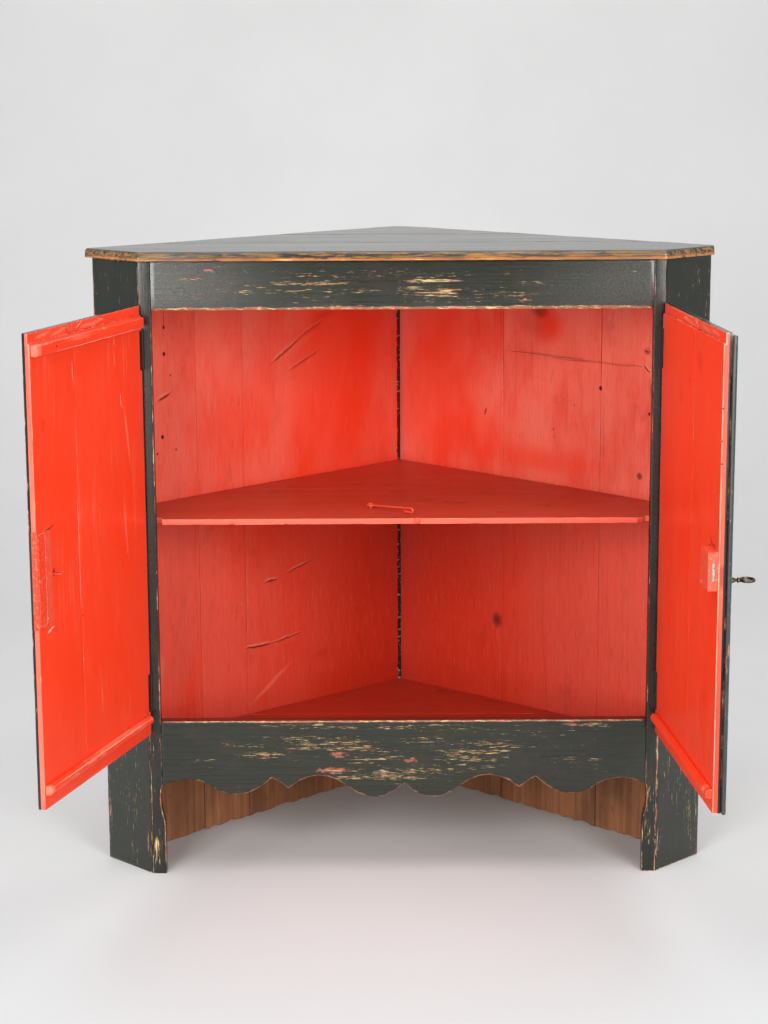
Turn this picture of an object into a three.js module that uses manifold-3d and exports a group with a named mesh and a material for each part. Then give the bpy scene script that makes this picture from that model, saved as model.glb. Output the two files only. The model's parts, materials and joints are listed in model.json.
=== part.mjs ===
// Low corner cupboard with two plank doors, painted pine.
// Millimetres, +Z up. The origin is on the floor at the back corner, in the middle of the lapped
// corner joint; the front face looks along -Y. Everything is laid out first with y = 0 on the
// front face, and the whole case is then moved back so that the corner joint is at the origin.
import * as THREE from 'three';
import Module from 'manifold-3d';
import { mergeVertices } from 'three/addons/utils/BufferGeometryUtils.js';

const wasm = await Module();
wasm.setup();

// Case
const caseHeight = 1000;
const faceWidth = 810;
const returnRun = 80;
const frameThickness = 20;
const stileWidth = 18;
const backThickness = 13;
const topRailHeight = 76;
const fitGap = 0.3;
const cutOverrun = 5;
const mergeTolerance = 0.0001;

// Top
const topThickness = 14;
const frontOverhang = 12;
const sideOverhang = 8;
const backOverhang = 10;
const topEdgeRadius = 9;
const topLip = 3.5;
const cornerClip = 12;
const leftTipReach = 496;
const rightTipReach = 488.5;
const topFrontPlankWidth = 175;
const topMiddlePlankWidth = 190;

// Apron and feet
const apronTop = 255;
const apronDepth = 128;
const footFlare = 4;
const footNotch = 2.5;
const footCurveHeight = 75;
const footNotchHeight = 123;

// Rail tenons
const tenonLength = 10;
const tenonThickness = 8;
const tenonShoulder = 14;

// Back planks, measured along each wall from the corner
const leftPlankWidths = [388, 102];
const rightPlankWidths = [262, 216];
const backPlankGap = 0.6;

// Shelf, floor and the cleats under the floor
const shelfTop = 583;
const shelfThickness = 9;
const shelfSetback = 15;
const shelfFrontPlankWidth = 245;
const shelfFrontSag = 3;
const shelfEdgeClearance = { left: 13, right: 19 };
const shelfNotchClearance = 8;
const shelfNotchDepth = 12;
const floorTop = 195;
const floorThickness = 13;
const floorFrontPlankWidth = 255;
const floorDrop = 21;
const cleatWidth = 20;
const cleatHeight = 12;

// Doors
const doorApronLap = 19;
const doorRailLap = 9;
const doorThickness = 12;
const doorStandOff = 1.5;
const doorKnuckleGap = 2;
const meetingLine = -6.7;
const meetingGap = 3;
const doorBoardGap = 0.6;
const leftBoardWidth = 245;
const rightBoardWidth = 226;
const topRebateHeight = 15;
const topRebateDepth = 3;
const leftDoorAngle = 107;
const rightDoorAngle = 94.7;

// Door battens
const battenProud = 11;
const battenStileClearance = 6;
const battenEndInset = 1;
const topBattenHeight = 17;
const topBattenRailClearance = 7;
const bottomBattenHeight = 14.5;
const bottomBattenRailClearance = 2.5;
const battenArris = 1.5;

// Astragal on the right door
const astragalWidth = 24;
const astragalLap = 8;
const astragalThickness = 6;
const astragalEndSetback = 4;
const astragalArris = 2.5;

// Hinges
const hingeHeight = 60;
const hingeLeafThickness = 1.2;
const hingeSetIn = 4;
const hingeLeafInset = 2;
const knuckleRadius = 3;
const pinRadius = 1.2;
const pinClearance = 0.05;
const pinHeadRadius = 2.5;
const pinHeadHeight = 2;
const hingeEndSetback = 69;

// Lock on the inner face of the right door
const lockBottom = 559;
const lockHeight = 55;
const lockLength = 46;
const lockDepth = 14;
const lockWall = 2;
const lockSetback = 1;
const boltThickness = 4;
const boltHeight = 26;
const boltLength = 39;
const boltThrow = 9;
const boltSpareTravel = 1.5;
const boltRecess = 0.6;
const boltStudRadius = 1.6;
const boltStudSetback = 30;
const boltStudRise = 18;

// Key and keyhole
const keyRise = 9;
const keyShankRadius = 2.5;
const keyBitReach = 8;
const keyBitThickness = 2.2;
const keyBitLength = 6;
const keyBitToPlate = 1.5;
const keyProjection = 48;
const keyBowLength = 24;
const keyBowWidth = 27;
const keyBowRadius = 2.2;
const keyCollarRadius = 4.2;
const escutcheonWidth = 20;
const escutcheonHeight = 34;
const escutcheonThickness = 1.2;
const escutcheonClearance = 2;

// Strike plate and hook staple on the left door
const strikeBottom = 500;
const strikeHeight = 141;
const strikeFaceWidth = 26;
const strikeThickness = 1;
const strikeEdgeInset = 1;
const stapleRise = 572;
const stapleSetback = 54;
const stapleWidth = 14;
const stapleProjection = 13;
const stapleRadius = 1.3;

// Shelf hook
const hookPivotX = -51;
const hookPivotSetback = 80;
const hookRadius = 1.8;
const hookEyeRadius = 4.6;
const hookEyeRise = 4;
const hookTipRise = 10.3;
const hookBendRadius = 3.3;
const hookReturn = 14;
const hookRestAngle = -44;
const hookPinRadius = 2.1;
const hookPinHeadRadius = 4.4;
const hookPinHeadHeight = 2.2;
const hookPinDepth = 9;

const roundSegments = 16;
const fineSegments = 24;
const curveSegments = 6;

const diagonal = Math.SQRT2;
const halfFace = faceWidth / 2;
const openingHalf = halfFace - stileWidth;
const wallDepth = halfFace + 2 * returnRun;
const wallInner = wallDepth - backThickness * diagonal;
const returnInner = halfFace - frameThickness * diagonal;
const bodyTop = caseHeight - topThickness;
const topRailBottom = bodyTop - topRailHeight;
const wallLength = (halfFace + returnRun) * diagonal - frameThickness;
const caseSetForward = wallDepth - backThickness / diagonal;

const paint = {
  green: { color: 0x2f3431, roughness: 0.62, metalness: 0 },
  red: { color: 0xd8361f, roughness: 0.5, metalness: 0 },
  bareWood: { color: 0x7a4b2c, roughness: 0.8, metalness: 0 },
  topPaint: { color: 0x3a3d3b, roughness: 0.55, metalness: 0 },
  iron: { color: 0x3b3632, roughness: 0.5, metalness: 0.8 },
  redIron: { color: 0xc4402c, roughness: 0.5, metalness: 0.2 },
  keySteel: { color: 0x6b6256, roughness: 0.35, metalness: 0.9 },
};
const materials = {};
for (const [name, values] of Object.entries(paint)) {
  materials[name] = new THREE.MeshStandardMaterial({ name, ...values });
}

const cupboard = new THREE.Group();
cupboard.name = 'corner_cupboard';
cupboard.position.y = -caseSetForward;

function solid(geometry) {
  const bare = geometry.clone();
  bare.deleteAttribute('normal');
  bare.deleteAttribute('uv');
  const merged = mergeVertices(bare, mergeTolerance);
  return new wasm.Manifold(new wasm.Mesh({
    numProp: 3,
    vertProperties: new Float32Array(merged.attributes.position.array),
    triVerts: new Uint32Array(merged.index.array),
  }));
}

function geometryOf(body) {
  const mesh = body.getMesh();
  const geometry = new THREE.BufferGeometry();
  const places = new Float32Array(mesh.numVert * 3);
  for (let vertex = 0; vertex < mesh.numVert; vertex += 1) {
    for (let axis = 0; axis < 3; axis += 1) {
      places[vertex * 3 + axis] = mesh.vertProperties[vertex * mesh.numProp + axis];
    }
  }
  geometry.setAttribute('position', new THREE.BufferAttribute(places, 3));
  geometry.setIndex(new THREE.BufferAttribute(new Uint32Array(mesh.triVerts), 1));
  geometry.computeVertexNormals();
  return geometry;
}

function addPiece(name, body, material, parent = cupboard) {
  const mesh = new THREE.Mesh(geometryOf(body), materials[material]);
  mesh.name = name;
  parent.add(mesh);
  return mesh;
}

// A block between two corners
function block(low, high) {
  const size = high.map((value, axis) => value - low[axis]);
  const geometry = new THREE.BoxGeometry(...size);
  geometry.translate(...low.map((value, axis) => value + size[axis] / 2));
  return solid(geometry);
}

function shapeOf(points) {
  return new THREE.Shape(points.map(([x, y]) => new THREE.Vector2(x, y)));
}

// A plan outline raised from one height to another
function raised(points, bottom, top) {
  const geometry = new THREE.ExtrudeGeometry(shapeOf(points), {
    depth: top - bottom, bevelEnabled: false,
  });
  geometry.translate(0, 0, bottom);
  return solid(geometry);
}

// A front outline, given as x and z, run back from one depth to another
function runBack(shape, front, back) {
  const geometry = new THREE.ExtrudeGeometry(shape, {
    depth: back - front, bevelEnabled: false, curveSegments,
  });
  geometry.applyMatrix4(new THREE.Matrix4().set(
    1, 0, 0, 0,
    0, 0, -1, back,
    0, 1, 0, 0,
    0, 0, 0, 1,
  ));
  return solid(geometry);
}

// A section, given as y and z, run along x
function runAlong(shape, start, end) {
  const geometry = new THREE.ExtrudeGeometry(shape, {
    depth: end - start, bevelEnabled: false, curveSegments,
  });
  geometry.applyMatrix4(new THREE.Matrix4().set(
    0, 0, 1, start,
    1, 0, 0, 0,
    0, 1, 0, 0,
    0, 0, 0, 1,
  ));
  return geometry;
}

function cylinder(radius, length, segments = roundSegments) {
  const geometry = new THREE.CylinderGeometry(radius, radius, length, segments);
  geometry.rotateX(Math.PI / 2);
  return geometry;
}

function mirroredPoints(points) {
  return points.map(([x, y]) => [-x, y]).reverse();
}

// Swaps a solid to the other hand, keeping its faces outward
function otherHand(body) {
  const geometry = geometryOf(body);
  geometry.scale(-1, 1, 1);
  const index = geometry.index.array;
  for (let corner = 0; corner < index.length; corner += 3) {
    [index[corner + 1], index[corner + 2]] = [index[corner + 2], index[corner + 1]];
  }
  return solid(geometry);
}

function handed(side, body) {
  return side < 0 ? otherHand(body) : body;
}

// Plan of a board between two depths that fills the kite between the canted sides and the walls:
// |x| is at most sideLine + y beside the returns, and at most backLine - y beside the walls
function boardPlan(sideLine, backLine, front, back) {
  const halfWidth = (y) => Math.min(sideLine + y, backLine - y);
  const elbow = (backLine - sideLine) / 2;
  const depths = [front];
  if (elbow > front && elbow < back) depths.push(elbow);
  depths.push(back);
  const right = depths.map((y) => [halfWidth(y), y]).filter(([x]) => x > 0);
  const apex = halfWidth(back) > 0 ? [] : [[0, backLine]];
  return [...right, ...apex, ...mirroredPoints(right)];
}

// Front frame: two narrow stiles mitred to the canted return boards
function buildFrame() {
  const mitre = frameThickness * Math.tan(Math.PI / 8);
  const notchX = openingHalf + footNotch;
  const footX = openingHalf - footFlare;
  const apronEnd = apronTop - apronDepth * apronEndShare;
  const stileFront = new THREE.Shape();
  stileFront.moveTo(halfFace, 0);
  stileFront.lineTo(halfFace, bodyTop);
  stileFront.lineTo(openingHalf, bodyTop);
  stileFront.lineTo(openingHalf, apronEnd);
  stileFront.quadraticCurveTo(notchX, apronEnd, notchX, footNotchHeight);
  stileFront.bezierCurveTo(
    notchX, footNotchHeight - (footNotchHeight - footCurveHeight) / 2,
    footX, footCurveHeight + (footNotchHeight - footCurveHeight) / 2,
    footX, footCurveHeight,
  );
  stileFront.lineTo(footX, 0);
  const stilePlan = [
    [halfFace, 0], [halfFace - mitre, frameThickness],
    [footX - cutOverrun, frameThickness], [footX - cutOverrun, 0],
  ].reverse();
  const stileBlank = runBack(stileFront, -cutOverrun, frameThickness + cutOverrun)
    .intersect(raised(stilePlan, -cutOverrun, bodyTop + cutOverrun));
  const stile = stileBlank.subtract(railMortise(topRailTenon())).subtract(railMortise(apronTenon()));

  // The return's mitred edge stands off the stile by the fit gap, square to the mitre
  const away = fitGap / Math.cos(Math.PI / 8);
  const returnPlan = [
    [halfFace + away / diagonal, away / diagonal],
    [halfFace + returnRun, returnRun],
    [halfFace + returnRun - frameThickness / diagonal, returnRun + frameThickness / diagonal],
    [halfFace - mitre + away / diagonal, frameThickness + away / diagonal],
  ];
  const returnBoard = raised(returnPlan, 0, bodyTop);
  for (const [side, hand] of [[-1, 'left'], [1, 'right']]) {
    addPiece(`${hand}_stile`, handed(side, stile), 'green');
    addPiece(`${hand}_return_board`, handed(side, returnBoard), 'green');
  }
}

// Tenon heights on the two rails, as [bottom, top]
function topRailTenon() {
  return [topRailBottom + tenonShoulder, bodyTop - tenonShoulder];
}

function apronTenon() {
  return [apronTop - apronDepth * apronEndShare + tenonShoulder, apronTop - tenonShoulder];
}

function tenonBlock([bottom, top], clearance) {
  const front = (frameThickness - tenonThickness) / 2 - clearance;
  const back = (frameThickness + tenonThickness) / 2 + clearance;
  return { front, back, bottom: bottom - clearance, top: top + clearance };
}

function railMortise(heights) {
  const { front, back, bottom, top } = tenonBlock(heights, fitGap);
  return block(
    [openingHalf - cutOverrun, front, bottom],
    [openingHalf + tenonLength + fitGap, back, top],
  );
}

// One tenon at each end of a rail
function railTenons(heights) {
  const { front, back, bottom, top } = tenonBlock(heights, 0);
  const reach = openingHalf + tenonLength;
  const root = openingHalf - tenonLength;
  return block([root, front, bottom], [reach, back, top])
    .add(block([-reach, front, bottom], [-root, back, top]));
}

// The apron's lower edge from the middle to the stile. Each stretch is [end across the half
// opening, end down the apron, how far down its middle lies], all as shares.
const apronStartShare = 0.82;
const apronEndShare = 0.844;
const apronStretchShares = [
  [0.228, 0.867, 1],
  [0.479, 0.883, 0.714],
  [0.546, 0.742, 0.8],
  [0.812, 0.82, 0.961],
  [1, apronEndShare, 0.758],
];

function apronEdge(railHalf) {
  const half = [];
  let [x, down] = [0, apronStartShare];
  for (const [endX, endDown, middleDown] of apronStretchShares) {
    const control = 2 * middleDown - (down + endDown) / 2;
    for (let step = 0; step < curveSegments; step += 1) {
      const t = step / curveSegments;
      half.push([
        railHalf * (x + (endX - x) * t),
        apronTop - apronDepth * ((1 - t) ** 2 * down + 2 * t * (1 - t) * control + t ** 2 * endDown),
      ]);
    }
    [x, down] = [endX, endDown];
  }
  half.push([railHalf, apronTop - apronDepth * down]);
  return half;
}

function buildRails() {
  const railHalf = openingHalf - fitGap;
  const topRail = block(
    [-railHalf, 0, topRailBottom], [railHalf, frameThickness, bodyTop],
  ).add(railTenons(topRailTenon()));
  addPiece('top_rail', topRail, 'green');

  const rightEdge = apronEdge(railHalf);
  const outline = [
    ...rightEdge, [railHalf, apronTop], [-railHalf, apronTop], ...mirroredPoints(rightEdge.slice(1)),
  ];
  const apron = runBack(shapeOf(outline), 0, frameThickness).add(railTenons(apronTenon()));
  addPiece('apron_rail', apron, 'green');
}

// Plan of a strip along one wall, from near to far along it, between two depths in from its back
function wallStrip(side, near, far, outer, inner) {
  const onWall = (along, inward) => [
    side * (along - inward) / diagonal, wallDepth - (along + inward) / diagonal,
  ];
  const points = [onWall(near, outer), onWall(far, outer), onWall(far, inner), onWall(near, inner)];
  return side < 0 ? points : points.reverse();
}

// Back planks stand in two walls at a right angle; the left wall laps over the right at the corner
function buildBacks() {
  const ends = ['corner', 'middle', 'side'];
  for (const [side, hand, widths] of [
    [-1, 'left', leftPlankWidths], [1, 'right', rightPlankWidths],
  ]) {
    let near = side < 0 ? 0 : backThickness + fitGap;
    const joints = [widths[0], widths[0] + widths[1], wallLength - fitGap];
    ends.forEach((place, index) => {
      const last = index === ends.length - 1;
      const far = last ? joints[index] : joints[index] - backPlankGap;
      addPiece(`${hand}_back_${place}_plank`, raised(
        wallStrip(side, near, far, 0, backThickness), 0, bodyTop,
      ), 'red');
      near = joints[index];
    });
  }
}

// Top boards: one moulded blank cut into three planks
function mouldedEdge(reach) {
  const edge = new THREE.Shape();
  edge.moveTo(0, bodyTop - cutOverrun);
  edge.lineTo(0, bodyTop + topLip);
  edge.lineTo(topLip / 4, bodyTop + topLip);
  edge.quadraticCurveTo(
    topLip / 4, caseHeight, topEdgeRadius, caseHeight,
  );
  edge.lineTo(reach, caseHeight);
  edge.lineTo(reach, bodyTop - cutOverrun);
  return edge;
}

function buildTop() {
  const reach = faceWidth + wallDepth;
  const sideLine = halfFace + sideOverhang * diagonal;
  const backLine = wallDepth + backOverhang * diagonal;
  const plan = boardPlan(sideLine, backLine, -frontOverhang, backLine - cornerClip);
  const frontCut = runAlong(mouldedEdge(reach), -reach, reach);
  frontCut.translate(0, -frontOverhang, 0);
  let blank = raised(plan, bodyTop, caseHeight).intersect(solid(frontCut)).intersect(block(
    [-leftTipReach, -reach, bodyTop - cutOverrun], [rightTipReach, reach, caseHeight + cutOverrun],
  ));
  for (const side of [-1, 1]) {
    const sideCut = runAlong(mouldedEdge(reach), -reach, reach);
    sideCut.rotateZ(side * Math.PI / 4);
    sideCut.translate(side * sideLine, 0, 0);
    blank = blank.intersect(solid(sideCut));
  }
  const planks = [
    ['top_front_plank', -frontOverhang, topFrontPlankWidth],
    ['top_middle_plank', topFrontPlankWidth, topFrontPlankWidth + topMiddlePlankWidth],
    ['top_back_plank', topFrontPlankWidth + topMiddlePlankWidth, backLine],
  ];
  for (const [name, front, back] of planks) {
    const from = front === -frontOverhang ? front - cutOverrun : front + fitGap;
    addPiece(name, blank.intersect(block(
      [-reach, from, bodyTop - cutOverrun], [reach, back, caseHeight + cutOverrun],
    )), 'topPaint');
  }
}

// Tips a body down in z by a steady slope: nothing at levelY, the whole drop at lowY
function tipped(body, levelY, lowY, drop) {
  const slope = drop / (lowY - levelY);
  return body.transform([1, 0, 0, 0, 0, 1, -slope, 0, 0, 0, 1, 0, 0, 0, slope * levelY, 1]);
}

const shelfSplit = shelfSetback + shelfFrontPlankWidth;

function shelfHeightAt(y) {
  return shelfTop - shelfFrontSag * (shelfSplit - y) / shelfFrontPlankWidth;
}

// The shelf's front edge stands between the stiles. Its corners are notched round them, and the
// cut on the right runs back at a slant.
function shelfFrontPlan(sideLine, backLine) {
  const notchBack = shelfSetback + shelfNotchDepth;
  const notchReach = openingHalf - shelfNotchClearance;
  const leftReach = openingHalf - shelfEdgeClearance.left;
  const rightReach = openingHalf - shelfEdgeClearance.right;
  const wing = boardPlan(sideLine, backLine, notchBack, shelfSplit);
  const slantRun = notchReach - rightReach;
  return [
    ...wing, [-notchReach, notchBack], [-notchReach, shelfSetback + fitGap],
    [-leftReach, shelfSetback], [rightReach, shelfSetback],
    [notchReach, shelfSetback + slantRun / 2], [notchReach, notchBack],
  ];
}

// Shelf and floor lie in two boards each. The front shelf board sags a little at its front edge,
// and the whole floor drops towards the corner.
function buildBoards() {
  const sideLine = returnInner - fitGap * diagonal;
  const backLine = wallInner - fitGap * diagonal;
  const pinHole = cylinder(hookPinRadius + pinClearance, 2 * hookPinDepth);
  pinHole.translate(hookPivotX, hookPivotY, hookSeatHeight);
  const shelfFront = raised(
    shelfFrontPlan(sideLine, backLine), shelfTop - shelfThickness, shelfTop,
  );
  addPiece('shelf_front_plank', tipped(
    shelfFront, shelfSplit, shelfSetback, shelfFrontSag,
  ).subtract(solid(pinHole)), 'red');
  addPiece('shelf_back_plank', raised(boardPlan(
    sideLine, backLine, shelfSplit + fitGap, backLine,
  ), shelfTop - shelfThickness, shelfTop), 'red');

  const front = frameThickness + fitGap;
  const floorSplit = front + floorFrontPlankWidth;
  for (const [name, from, to] of [
    ['floor_front_plank', front, floorSplit], ['floor_back_plank', floorSplit + fitGap, backLine],
  ]) {
    addPiece(name, floorTipped(raised(
      boardPlan(sideLine, backLine, from, to), floorTop - floorThickness, floorTop,
    )), 'red');
  }
}

function floorTipped(body) {
  return tipped(body, frameThickness, wallInner, floorDrop);
}

// Cleats carry the floor: one behind the apron, one along each wall
function buildCleats() {
  const top = floorTop - floorThickness - fitGap;
  const front = frameThickness + fitGap;
  const frontHalf = openingHalf - cleatWidth;
  addPiece('floor_front_cleat', floorTipped(block(
    [-frontHalf, front, top - cleatHeight], [frontHalf, front + cleatWidth, top],
  )), 'bareWood');
  const outer = backThickness + fitGap;
  for (const [side, hand] of [[-1, 'left'], [1, 'right']]) {
    addPiece(`${hand}_floor_cleat`, floorTipped(raised(wallStrip(
      side, outer + cleatWidth + fitGap, wallLength - cleatWidth, outer, outer + cleatWidth,
    ), top - cleatHeight, top)), 'bareWood');
  }
}

// Doors are laid out shut, with x measured from the hinge pin towards the free edge and y = 0 on
// the pin, for the left door; the right door swaps hands. Each then swings about its pin.
const pinX = halfFace - hingeSetIn;
const pinY = -(knuckleRadius + fitGap);
const innerFace = -doorStandOff - pinY;
const outerFace = innerFace - doorThickness;
const doorBottom = apronTop - doorApronLap;
const doorTop = topRailBottom + doorRailLap;
const lowerHingeCentre = doorBottom + hingeEndSetback;
const upperHingeCentre = doorTop - hingeEndSetback;
const hingeEdge = knuckleRadius + doorKnuckleGap;
const hingeLeafReach = pinX - openingHalf - hingeLeafInset;
const leftFreeEdge = pinX + meetingLine - meetingGap / 2;
const rightFreeEdge = pinX - meetingLine - meetingGap / 2;
const battenStart = pinX - openingHalf + battenStileClearance;

function doorGroup(side, angle) {
  const group = new THREE.Group();
  group.name = side < 0 ? 'left_door' : 'right_door';
  group.position.set(side * pinX, pinY, 0);
  group.rotation.z = side * THREE.MathUtils.degToRad(angle);
  cupboard.add(group);
  // The left door's x runs from its pin towards +x, the right door's towards -x
  const addDoorPiece = (name, body, material, parent = group) => (
    addPiece(name, handed(-side, body), material, parent)
  );
  return { group, addDoorPiece };
}

function doorBoard(from, to) {
  const rebate = block(
    [from - cutOverrun, innerFace - topRebateDepth, doorTop - topRebateHeight],
    [to + cutOverrun, innerFace + cutOverrun, doorTop + cutOverrun],
  );
  return block([from, outerFace, doorBottom], [to, innerFace, doorTop]).subtract(rebate);
}

function hingeCentres() {
  return [['lower', lowerHingeCentre], ['upper', upperHingeCentre]];
}

function leafRecess(centre) {
  const half = hingeHeight / 2 + fitGap;
  return block(
    [hingeEdge - cutOverrun, innerFace - hingeLeafThickness - fitGap, centre - half],
    [hingeLeafReach + fitGap, innerFace + cutOverrun, centre + half],
  );
}

function squareBatten(from, to, bottom, height) {
  const section = new THREE.Shape();
  const face = innerFace + battenProud;
  section.moveTo(innerFace + fitGap, bottom);
  section.lineTo(face - battenArris, bottom);
  section.lineTo(face, bottom + battenArris);
  section.lineTo(face, bottom + height - battenArris);
  section.lineTo(face - battenArris, bottom + height);
  section.lineTo(innerFace + fitGap, bottom + height);
  return solid(runAlong(section, from, to));
}

function roundBatten(from, to, bottom, height) {
  const section = new THREE.Shape();
  const radius = height / 2;
  section.moveTo(innerFace + fitGap, bottom);
  section.lineTo(innerFace + battenProud - radius, bottom);
  section.absarc(
    innerFace + battenProud - radius, bottom + radius, radius, -Math.PI / 2, Math.PI / 2, false,
  );
  section.lineTo(innerFace + fitGap, bottom + height);
  return solid(runAlong(section, from, to));
}

function doorBattens() {
  return {
    topBottom: topRailBottom - topBattenRailClearance - topBattenHeight,
    bottomBottom: apronTop + bottomBattenRailClearance,
  };
}

// Butt hinge: a leaf with two outer knuckles on the stile, a leaf with the middle one on the door
function knuckle(bottom, top) {
  const outer = cylinder(knuckleRadius, top - bottom);
  const boreRadius = pinRadius / Math.cos(Math.PI / roundSegments) + pinClearance;
  const bore = cylinder(boreRadius, top - bottom + 2 * cutOverrun);
  const middle = (bottom + top) / 2;
  outer.translate(0, 0, middle);
  bore.translate(0, 0, middle);
  return { tube: solid(outer), bore: solid(bore) };
}

function hingeLeaf(faceLow, faceHigh, knuckleSpans) {
  const half = hingeHeight / 2;
  let leaf = block([knuckleRadius + fitGap, faceLow, -half], [hingeLeafReach, faceHigh, half]);
  for (const [bottom, top] of knuckleSpans) {
    const { tube, bore } = knuckle(bottom, top);
    leaf = leaf.add(block([0, faceLow, bottom], [knuckleRadius + 2 * fitGap, faceHigh, top]));
    leaf = leaf.add(tube).subtract(bore);
  }
  return leaf;
}

function hingePin() {
  const half = hingeHeight / 2;
  const seat = half + fitGap;
  const profile = [
    [0, -half], [pinRadius, -half], [pinRadius, seat], [pinHeadRadius, seat],
    [pinHeadRadius, seat + pinHeadHeight / 2], [pinHeadRadius / 2, seat + pinHeadHeight],
    [0, seat + pinHeadHeight],
  ].map(([x, y]) => new THREE.Vector2(x, y));
  const geometry = new THREE.LatheGeometry(profile, roundSegments);
  geometry.rotateX(Math.PI / 2);
  return solid(geometry);
}

function buildHinges(side, hand, addDoorPiece) {
  const half = hingeHeight / 2;
  const third = hingeHeight / 6;
  const frameSpans = [[-half, -third - fitGap / 2], [third + fitGap / 2, half]];
  const doorSpans = [[-third + fitGap / 2, third - fitGap / 2]];
  const frameLeaf = hingeLeaf(-hingeLeafThickness - pinY, -pinY, frameSpans);
  const doorLeaf = hingeLeaf(innerFace - hingeLeafThickness, innerFace, doorSpans);
  for (const [place, centre] of hingeCentres()) {
    const frameMesh = addPiece(`${hand}_${place}_hinge_frame_leaf`, handed(-side, frameLeaf), 'iron');
    frameMesh.position.set(side * pinX, pinY, centre);
    const pinMesh = addPiece(`${hand}_${place}_hinge_pin`, hingePin(), 'iron');
    pinMesh.position.set(side * pinX, pinY, centre);
    addDoorPiece(`${hand}_${place}_hinge_door_leaf`, doorLeaf, 'iron').position.z = centre;
  }
}

// Plate folded over the free edge of the left door, where the bolt passes behind it
function strikePlate() {
  const edge = leftFreeEdge + fitGap;
  const face = innerFace + fitGap;
  const top = strikeBottom + strikeHeight;
  return block(
    [edge, outerFace + strikeEdgeInset, strikeBottom], [edge + strikeThickness, face, top],
  ).add(block(
    [leftFreeEdge - strikeFaceWidth, face, strikeBottom],
    [edge + strikeThickness, face + strikeThickness, top],
  ));
}

function rodBetween(from, to, radius, segments = 8) {
  const start = new THREE.Vector3(...from);
  const path = new THREE.LineCurve3(start, new THREE.Vector3(...to));
  const section = new THREE.Shape();
  section.absarc(0, 0, radius, 0, 2 * Math.PI, false);
  return solid(new THREE.ExtrudeGeometry(section, {
    steps: 1, extrudePath: path, curveSegments: segments / 2, bevelEnabled: false,
  }));
}

function ball(radius, place) {
  const geometry = new THREE.SphereGeometry(radius, 8, 6);
  geometry.translate(...place);
  return solid(geometry);
}

// Flat U of round wire: two legs from the door and a bar across
function staple() {
  const x = leftFreeEdge - stapleSetback;
  const far = innerFace + stapleProjection;
  const foot = innerFace + fitGap;
  const ends = [x - stapleWidth / 2, x + stapleWidth / 2];
  let body = rodBetween([ends[0], far, stapleRise], [ends[1], far, stapleRise], stapleRadius);
  for (const end of ends) {
    body = body.add(rodBetween([end, foot, stapleRise], [end, far, stapleRise], stapleRadius))
      .add(ball(stapleRadius * 1.02, [end, far, stapleRise]));
  }
  return body;
}

function buildLeftDoor() {
  const { addDoorPiece } = doorGroup(-1, leftDoorAngle);
  let hingeBoard = doorBoard(hingeEdge, hingeEdge + leftBoardWidth);
  for (const [, centre] of hingeCentres()) hingeBoard = hingeBoard.subtract(leafRecess(centre));
  addDoorPiece('left_door_hinge_board', hingeBoard, 'red');
  addDoorPiece(
    'left_door_meeting_board', doorBoard(hingeEdge + leftBoardWidth + doorBoardGap, leftFreeEdge), 'red',
  );
  const { topBottom, bottomBottom } = doorBattens();
  const battenEnd = leftFreeEdge - battenEndInset;
  addDoorPiece(
    'left_door_top_batten', squareBatten(battenStart, battenEnd, topBottom, topBattenHeight), 'red',
  );
  addDoorPiece(
    'left_door_bottom_batten',
    roundBatten(battenStart, battenEnd, bottomBottom, bottomBattenHeight), 'red',
  );
  addDoorPiece('strike_plate', strikePlate(), 'redIron');
  addDoorPiece('hook_staple', staple(), 'redIron');
  buildHinges(-1, 'left', addDoorPiece);
}

// Lock on the right door. u runs from the pin to the free edge, as x does for the left door.
const lockEnd = rightFreeEdge - lockSetback;
const lockStart = lockEnd - lockLength;
const lockBack = innerFace + fitGap;
const lockFace = lockBack + lockDepth;
const lockTop = lockBottom + lockHeight;
const keyU = rightFreeEdge + astragalLap - astragalWidth - escutcheonClearance - escutcheonWidth / 2;
const keyZ = lockBottom + keyRise;
const boltMiddle = lockBack + (lockDepth - lockWall) / 2;
const boltBottom = keyZ + keyBitReach / 2 + fitGap;
const boltFront = lockEnd - boltRecess;
const studU = lockEnd - boltStudSetback;
const studZ = boltBottom + boltStudRise;

function lockCase() {
  const shell = block([lockStart, lockBack, lockBottom], [lockEnd, lockFace, lockTop]).subtract(block(
    [lockStart + lockWall, lockBack - cutOverrun, lockBottom + lockWall],
    [lockEnd - lockWall, lockFace - lockWall, lockTop - lockWall],
  ));
  const slot = block(
    [lockEnd - lockWall - cutOverrun, boltMiddle - boltThickness / 2 - fitGap, boltBottom - fitGap],
    [lockEnd + cutOverrun, boltMiddle + boltThickness / 2 + fitGap, boltBottom + boltHeight + fitGap],
  );
  const stud = cylinder(boltStudRadius, lockDepth - 2 * lockWall);
  stud.rotateX(Math.PI / 2);
  stud.translate(studU, lockFace - lockWall / 2 - (lockDepth - 2 * lockWall) / 2, studZ);
  return shell.subtract(slot).add(solid(stud));
}

// Bolt with a talon notch for the key's bit and a slot that rides on the stud in the case
function lockBolt() {
  const front = boltMiddle - boltThickness / 2;
  const back = boltMiddle + boltThickness / 2;
  const bar = block(
    [boltFront - boltLength, front, boltBottom], [boltFront, back, boltBottom + boltHeight],
  );
  const talonSide = keyBitThickness / 2 + 4 * fitGap;
  const talon = block(
    [keyU - keyBitReach - talonSide - keyBitThickness / 2, front - cutOverrun, boltBottom - cutOverrun],
    [keyU + talonSide, back + cutOverrun, keyZ + keyBitReach + 2 * fitGap],
  );
  const slotRadius = boltStudRadius + fitGap;
  const slot = block(
    [studU - boltThrow - boltSpareTravel - slotRadius, front - cutOverrun, studZ - slotRadius],
    [studU + slotRadius, back + cutOverrun, studZ + slotRadius],
  );
  return bar.subtract(talon).subtract(slot);
}

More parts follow.
